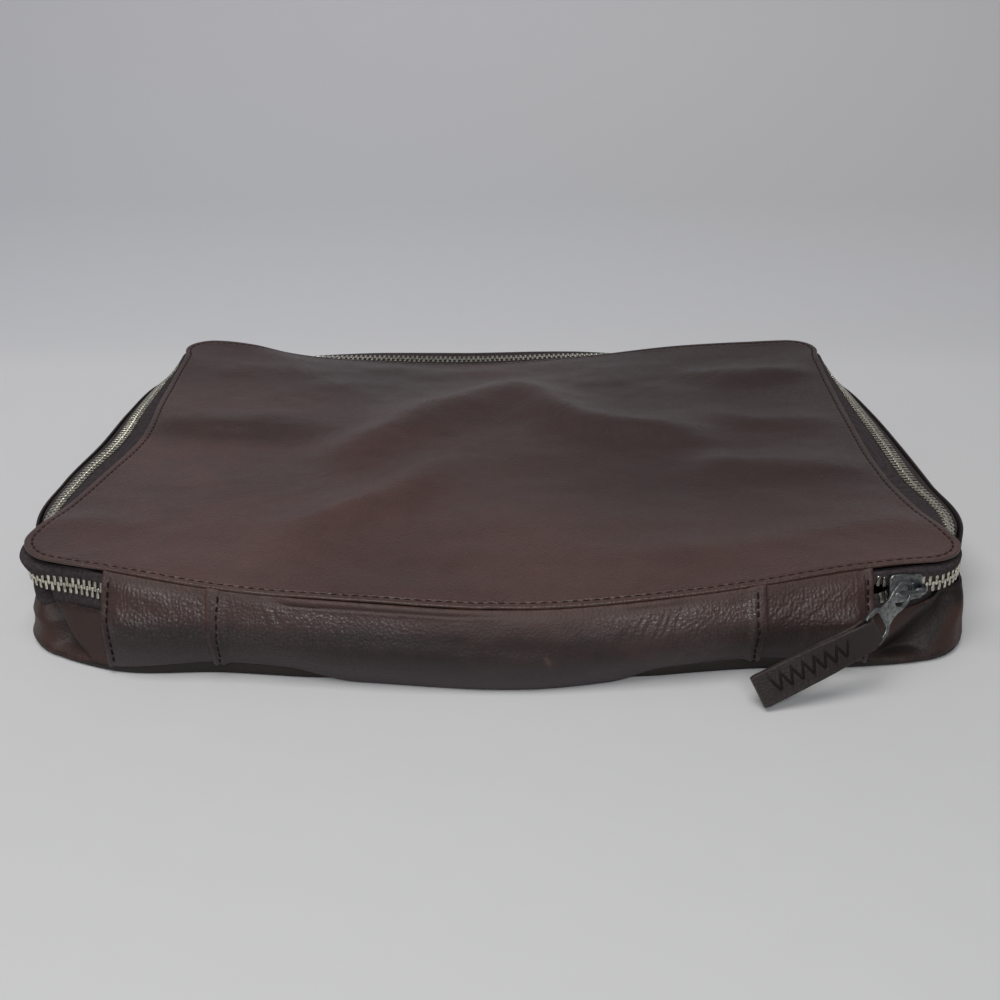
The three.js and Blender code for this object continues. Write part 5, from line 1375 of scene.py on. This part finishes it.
def build_tab():
    half = TAB_LAYER / 2 + 0.1
    thin = 0.68 * TAB_LAYER
    open_ = PULL_THICK / 2 + 0.25 + thin / 2
    bow = 1.0 + 0.25 + thin / 2

    def spread(a):
        return half + (open_ - half) * (1 - smooth(a, 2.0, 9))

    run = np.concatenate([np.linspace(TAB_LENGTH, 10, 150), np.linspace(10, 1.4, 24)[1:]])
    turn = np.radians(np.linspace(78, -78, 13))
    a = np.concatenate([run, -bow * np.cos(turn), run[::-1]])
    off = np.concatenate([spread(run), open_ * np.sin(turn), -spread(run[::-1])])
    hair = np.stack([a, off], 1)
    d = unit(np.gradient(hair, axis=0))
    nrm = np.stack([-d[:, 1], d[:, 0]], 1)
    width = TAB_NECK + (TAB_WIDTH - TAB_NECK) * smooth(a, 0.6, 2.6)
    layer = thin + (TAB_LAYER - thin) * smooth(a, 2.0, 8.0)
    width = width - 0.9 * (1 - smooth(TAB_LENGTH - a, 0.0, 1.6)) + 0.18 * noise(a / 5.0, 0 * a + 0.5, 71)
    # Section of the strip: thickness side, then across.
    loop = [(0.34, -1.0)] + [(0.5, t) for t in np.linspace(-0.96, 0.96, 43)] + [(0.34, 1.0), (0.0, 1.01), (-0.34, 1.0)] \
        + [(-0.5, t) for t in np.linspace(0.96, -0.96, 43)] + [(-0.34, -1.0), (0.0, -1.01)]
    loop = np.array(loop)
    rings = []
    wear = []
    for k in range(len(a)):
        t, w = loop[:, 0] * layer[k], loop[:, 1] * width[k] / 2
        al = a[k] + nrm[k, 0] * t
        of = off[k] + nrm[k, 1] * t
        lump = 0.10 * noise(a[k] / 6.0 + 0 * w, w / 5.0 + (3 if off[k] > 0 else 9), 72) * smooth(a[k], 8, 16)
        at, across, face = tab_frame(al)
        phase = (a[k] - ZIG_FROM) / (ZIG_TO - ZIG_FROM) * ZIG_COUNT
        if -0.2 < phase < ZIG_COUNT + 0.2:
            leg = np.clip(phase, 0, ZIG_COUNT) % 2
            line = ZIG_HALF * (1 - 2 * (leg if leg < 1 else 2 - leg))
            d = np.abs(w - line) * 0.5
            outer = np.sign(nrm[k, 1] * loop[:, 0]) == np.sign(off[k])
            sunk = (-0.42 * gauss(d / 0.55) + 0.16 * gauss((d - 1.3) / 0.6)) * np.sign(off[k])
            lump = lump + np.where(outer & (np.abs(loop[:, 0]) > 0.45), sunk, 0.0)
        rings.append(at + face * (of + lump)[:, None] + across * w[:, None])
        wear.append((1 - np.abs(loop[:, 1])) * width[k] / 2)
    m = len(loop)
    verts = np.concatenate(rings)
    faces = [ring_faces(len(rings), m, False), np.arange(m)[None, ::-1].copy(), (np.arange(m) + (len(rings) - 1) * m)[None]]
    wear = np.array(wear)
    wear[:2] = 0.2
    wear[-2:] = 0.2
    o = make("pull_tab_leather", verts, faces, M_TAB, "pull", "pull_tab", 50, {"rim": wear})
    # Zigzag stitches along the middle, through both layers.
    zig = np.linspace(ZIG_FROM, ZIG_TO, ZIG_COUNT + 1)
    parts = []
    for side in (1, -1):
        for k in range(len(zig) - 1):
            w0, w1 = (ZIG_HALF, -ZIG_HALF) if k % 2 == 0 else (-ZIG_HALF, ZIG_HALF)
            t = np.linspace(0, 1, 9)
            al = zig[k] + (zig[k + 1] - zig[k]) * t
            w = w0 + (w1 - w0) * t
            at, across, face = tab_frame(al)
            dive = -0.75 * (np.abs(2 * t - 1) ** 6)
            h = spread(al) + TAB_LAYER / 2 - 0.12 + dive
            p = at + face * (side * h)[:, None] + across * w[:, None]
            parts.append(tube(p, 0.42, face * side, 8, 0.75))
    v, f = join(parts)
    make("pull_tab_stitches", v, f, M_TAB_THREAD, "pull", None, 60)
    return o


top_panel = build_top_panel()
bottom_panel = build_bottom_panel()
gusset = build_gusset()
spine, spine_right, spine_left = build_spine()
tape_upper, tape_lower = build_tapes()
build_teeth()
build_slider()
build_pull()
pull_tab = build_tab()


# ------------------------------------------------------ stage, light, camera
def build_stage():
    n = Nodes("stage_paper")
    fine = n.noise(60.0, 3.0, 0.5)
    sep = n.tree.nodes.new("ShaderNodeSeparateXYZ")
    n.link(n.co, sep.inputs[0])
    # Painted light on the paper: lighter at the bend of the sweep, darker up the wall, and shaded a little differently
    # at the left and the right.
    far = n.math("ADD", n.span(n.math("ADD", sep.outputs[1], sep.outputs[2]), -0.2, 0.8), n.math("MULTIPLY", fine, 0.03))
    left = n.ramp(far, (0.0, lin(199, 199, 200)), (0.42, lin(212, 212, 214)), (0.58, lin(198, 199, 204)), (0.75, lin(184, 186, 191)), (1.0, lin(184, 184, 189)))
    right = n.ramp(far, (0.0, lin(195, 195, 195)), (0.42, lin(211, 211, 212)), (0.58, lin(202, 202, 205)), (0.75, lin(191, 190, 191)), (1.0, lin(194, 192, 194)))
    n.finish(Base_Color=n.mix(n.span(sep.outputs[0], -0.5, 0.5), left, right),
             Roughness=n.span(fine, 0.3, 0.7, 0.62, 0.7))
    y = [-3.0, -1.0, -0.4, 0.1, 0.26]
    z = [0.0] * 5
    for a in np.linspace(0, 90, 19)[1:]:
        y.append(0.26 + 0.42 * math.sin(math.radians(a)))
        z.append(0.42 - 0.42 * math.cos(math.radians(a)))
    y.append(0.68)
    z.append(0.5)
    verts, faces = [], []
    for yy, zz in zip(y, z):
        verts += [(-3.0, yy, zz - 0.0001), (3.0, yy, zz - 0.0001)]
    for k in range(len(y) - 1):
        faces.append((2 * k, 2 * k + 1, 2 * k + 3, 2 * k + 2))
    me = bpy.data.meshes.new("stage_sweep")
    me.from_pydata(verts, [], faces)
    me.polygons.foreach_set("use_smooth", np.ones(len(me.polygons), bool))
    me.materials.append(n.mat)
    o = bpy.data.objects.new("stage_sweep", me)
    bpy.context.scene.collection.objects.link(o)


def area(name, at, look, size, watts, colour):
    light = bpy.data.lights.new(name, "AREA")
    light.shape = "RECTANGLE"
    light.size, light.size_y = size
    light.energy = watts
    light.color = colour
    o = bpy.data.objects.new(name, light)
    z = unit(np.array(at, float) - np.array(look, float))
    x = unit(np.cross([0.0, 1.0, 0.001], z))
    y = np.cross(z, x)
    o.matrix_world = Matrix([[x[0], y[0], z[0], at[0]], [x[1], y[1], z[1], at[1]], [x[2], y[2], z[2], at[2]], [0, 0, 0, 1]])
    bpy.context.scene.collection.objects.link(o)


def build_camera():
    yaw, pitch, roll = (math.radians(v) for v in (-1.2, 26.4, -0.41))
    fwd = np.array([math.sin(yaw) * math.cos(pitch), math.cos(yaw) * math.cos(pitch), -math.sin(pitch)])
    right = np.array([math.cos(yaw), -math.sin(yaw), 0])
    up = np.cross(right, fwd)
    right, up = math.cos(roll) * right + math.sin(roll) * up, -math.sin(roll) * right + math.cos(roll) * up
    at = (0.0130, -0.5072, 0.2527)
    cam = bpy.data.cameras.new("camera")
    cam.lens, cam.sensor_width = 39.6, 36.0
    cam.clip_start, cam.clip_end = 0.02, 20
    o = bpy.data.objects.new("camera", cam)
    o.matrix_world = Matrix([[right[k], up[k], -fwd[k], at[k]] for k in range(3)] + [[0, 0, 0, 1]])
    bpy.context.scene.collection.objects.link(o)
    bpy.context.scene.camera = o


build_stage()
area("key_above", (-0.28, -0.38, 1.32), (0.0, -0.05, 0.0), (1.0, 0.7), 11.0, (1.0, 0.985, 0.965))
area("fill_front", (0.0, -1.25, 1.0), (0.0, -0.1, 0.0), (0.95, 0.24), 8.6, (0.97, 0.985, 1.0))
world = bpy.data.worlds.new("studio")
world.use_nodes = True
world.node_tree.nodes["Background"].inputs[0].default_value = (0.92, 0.95, 1.0, 1)
world.node_tree.nodes["Background"].inputs[1].default_value = 0.20
bpy.context.scene.world = world
bpy.context.scene.view_settings.view_transform = "Standard"
build_camera()
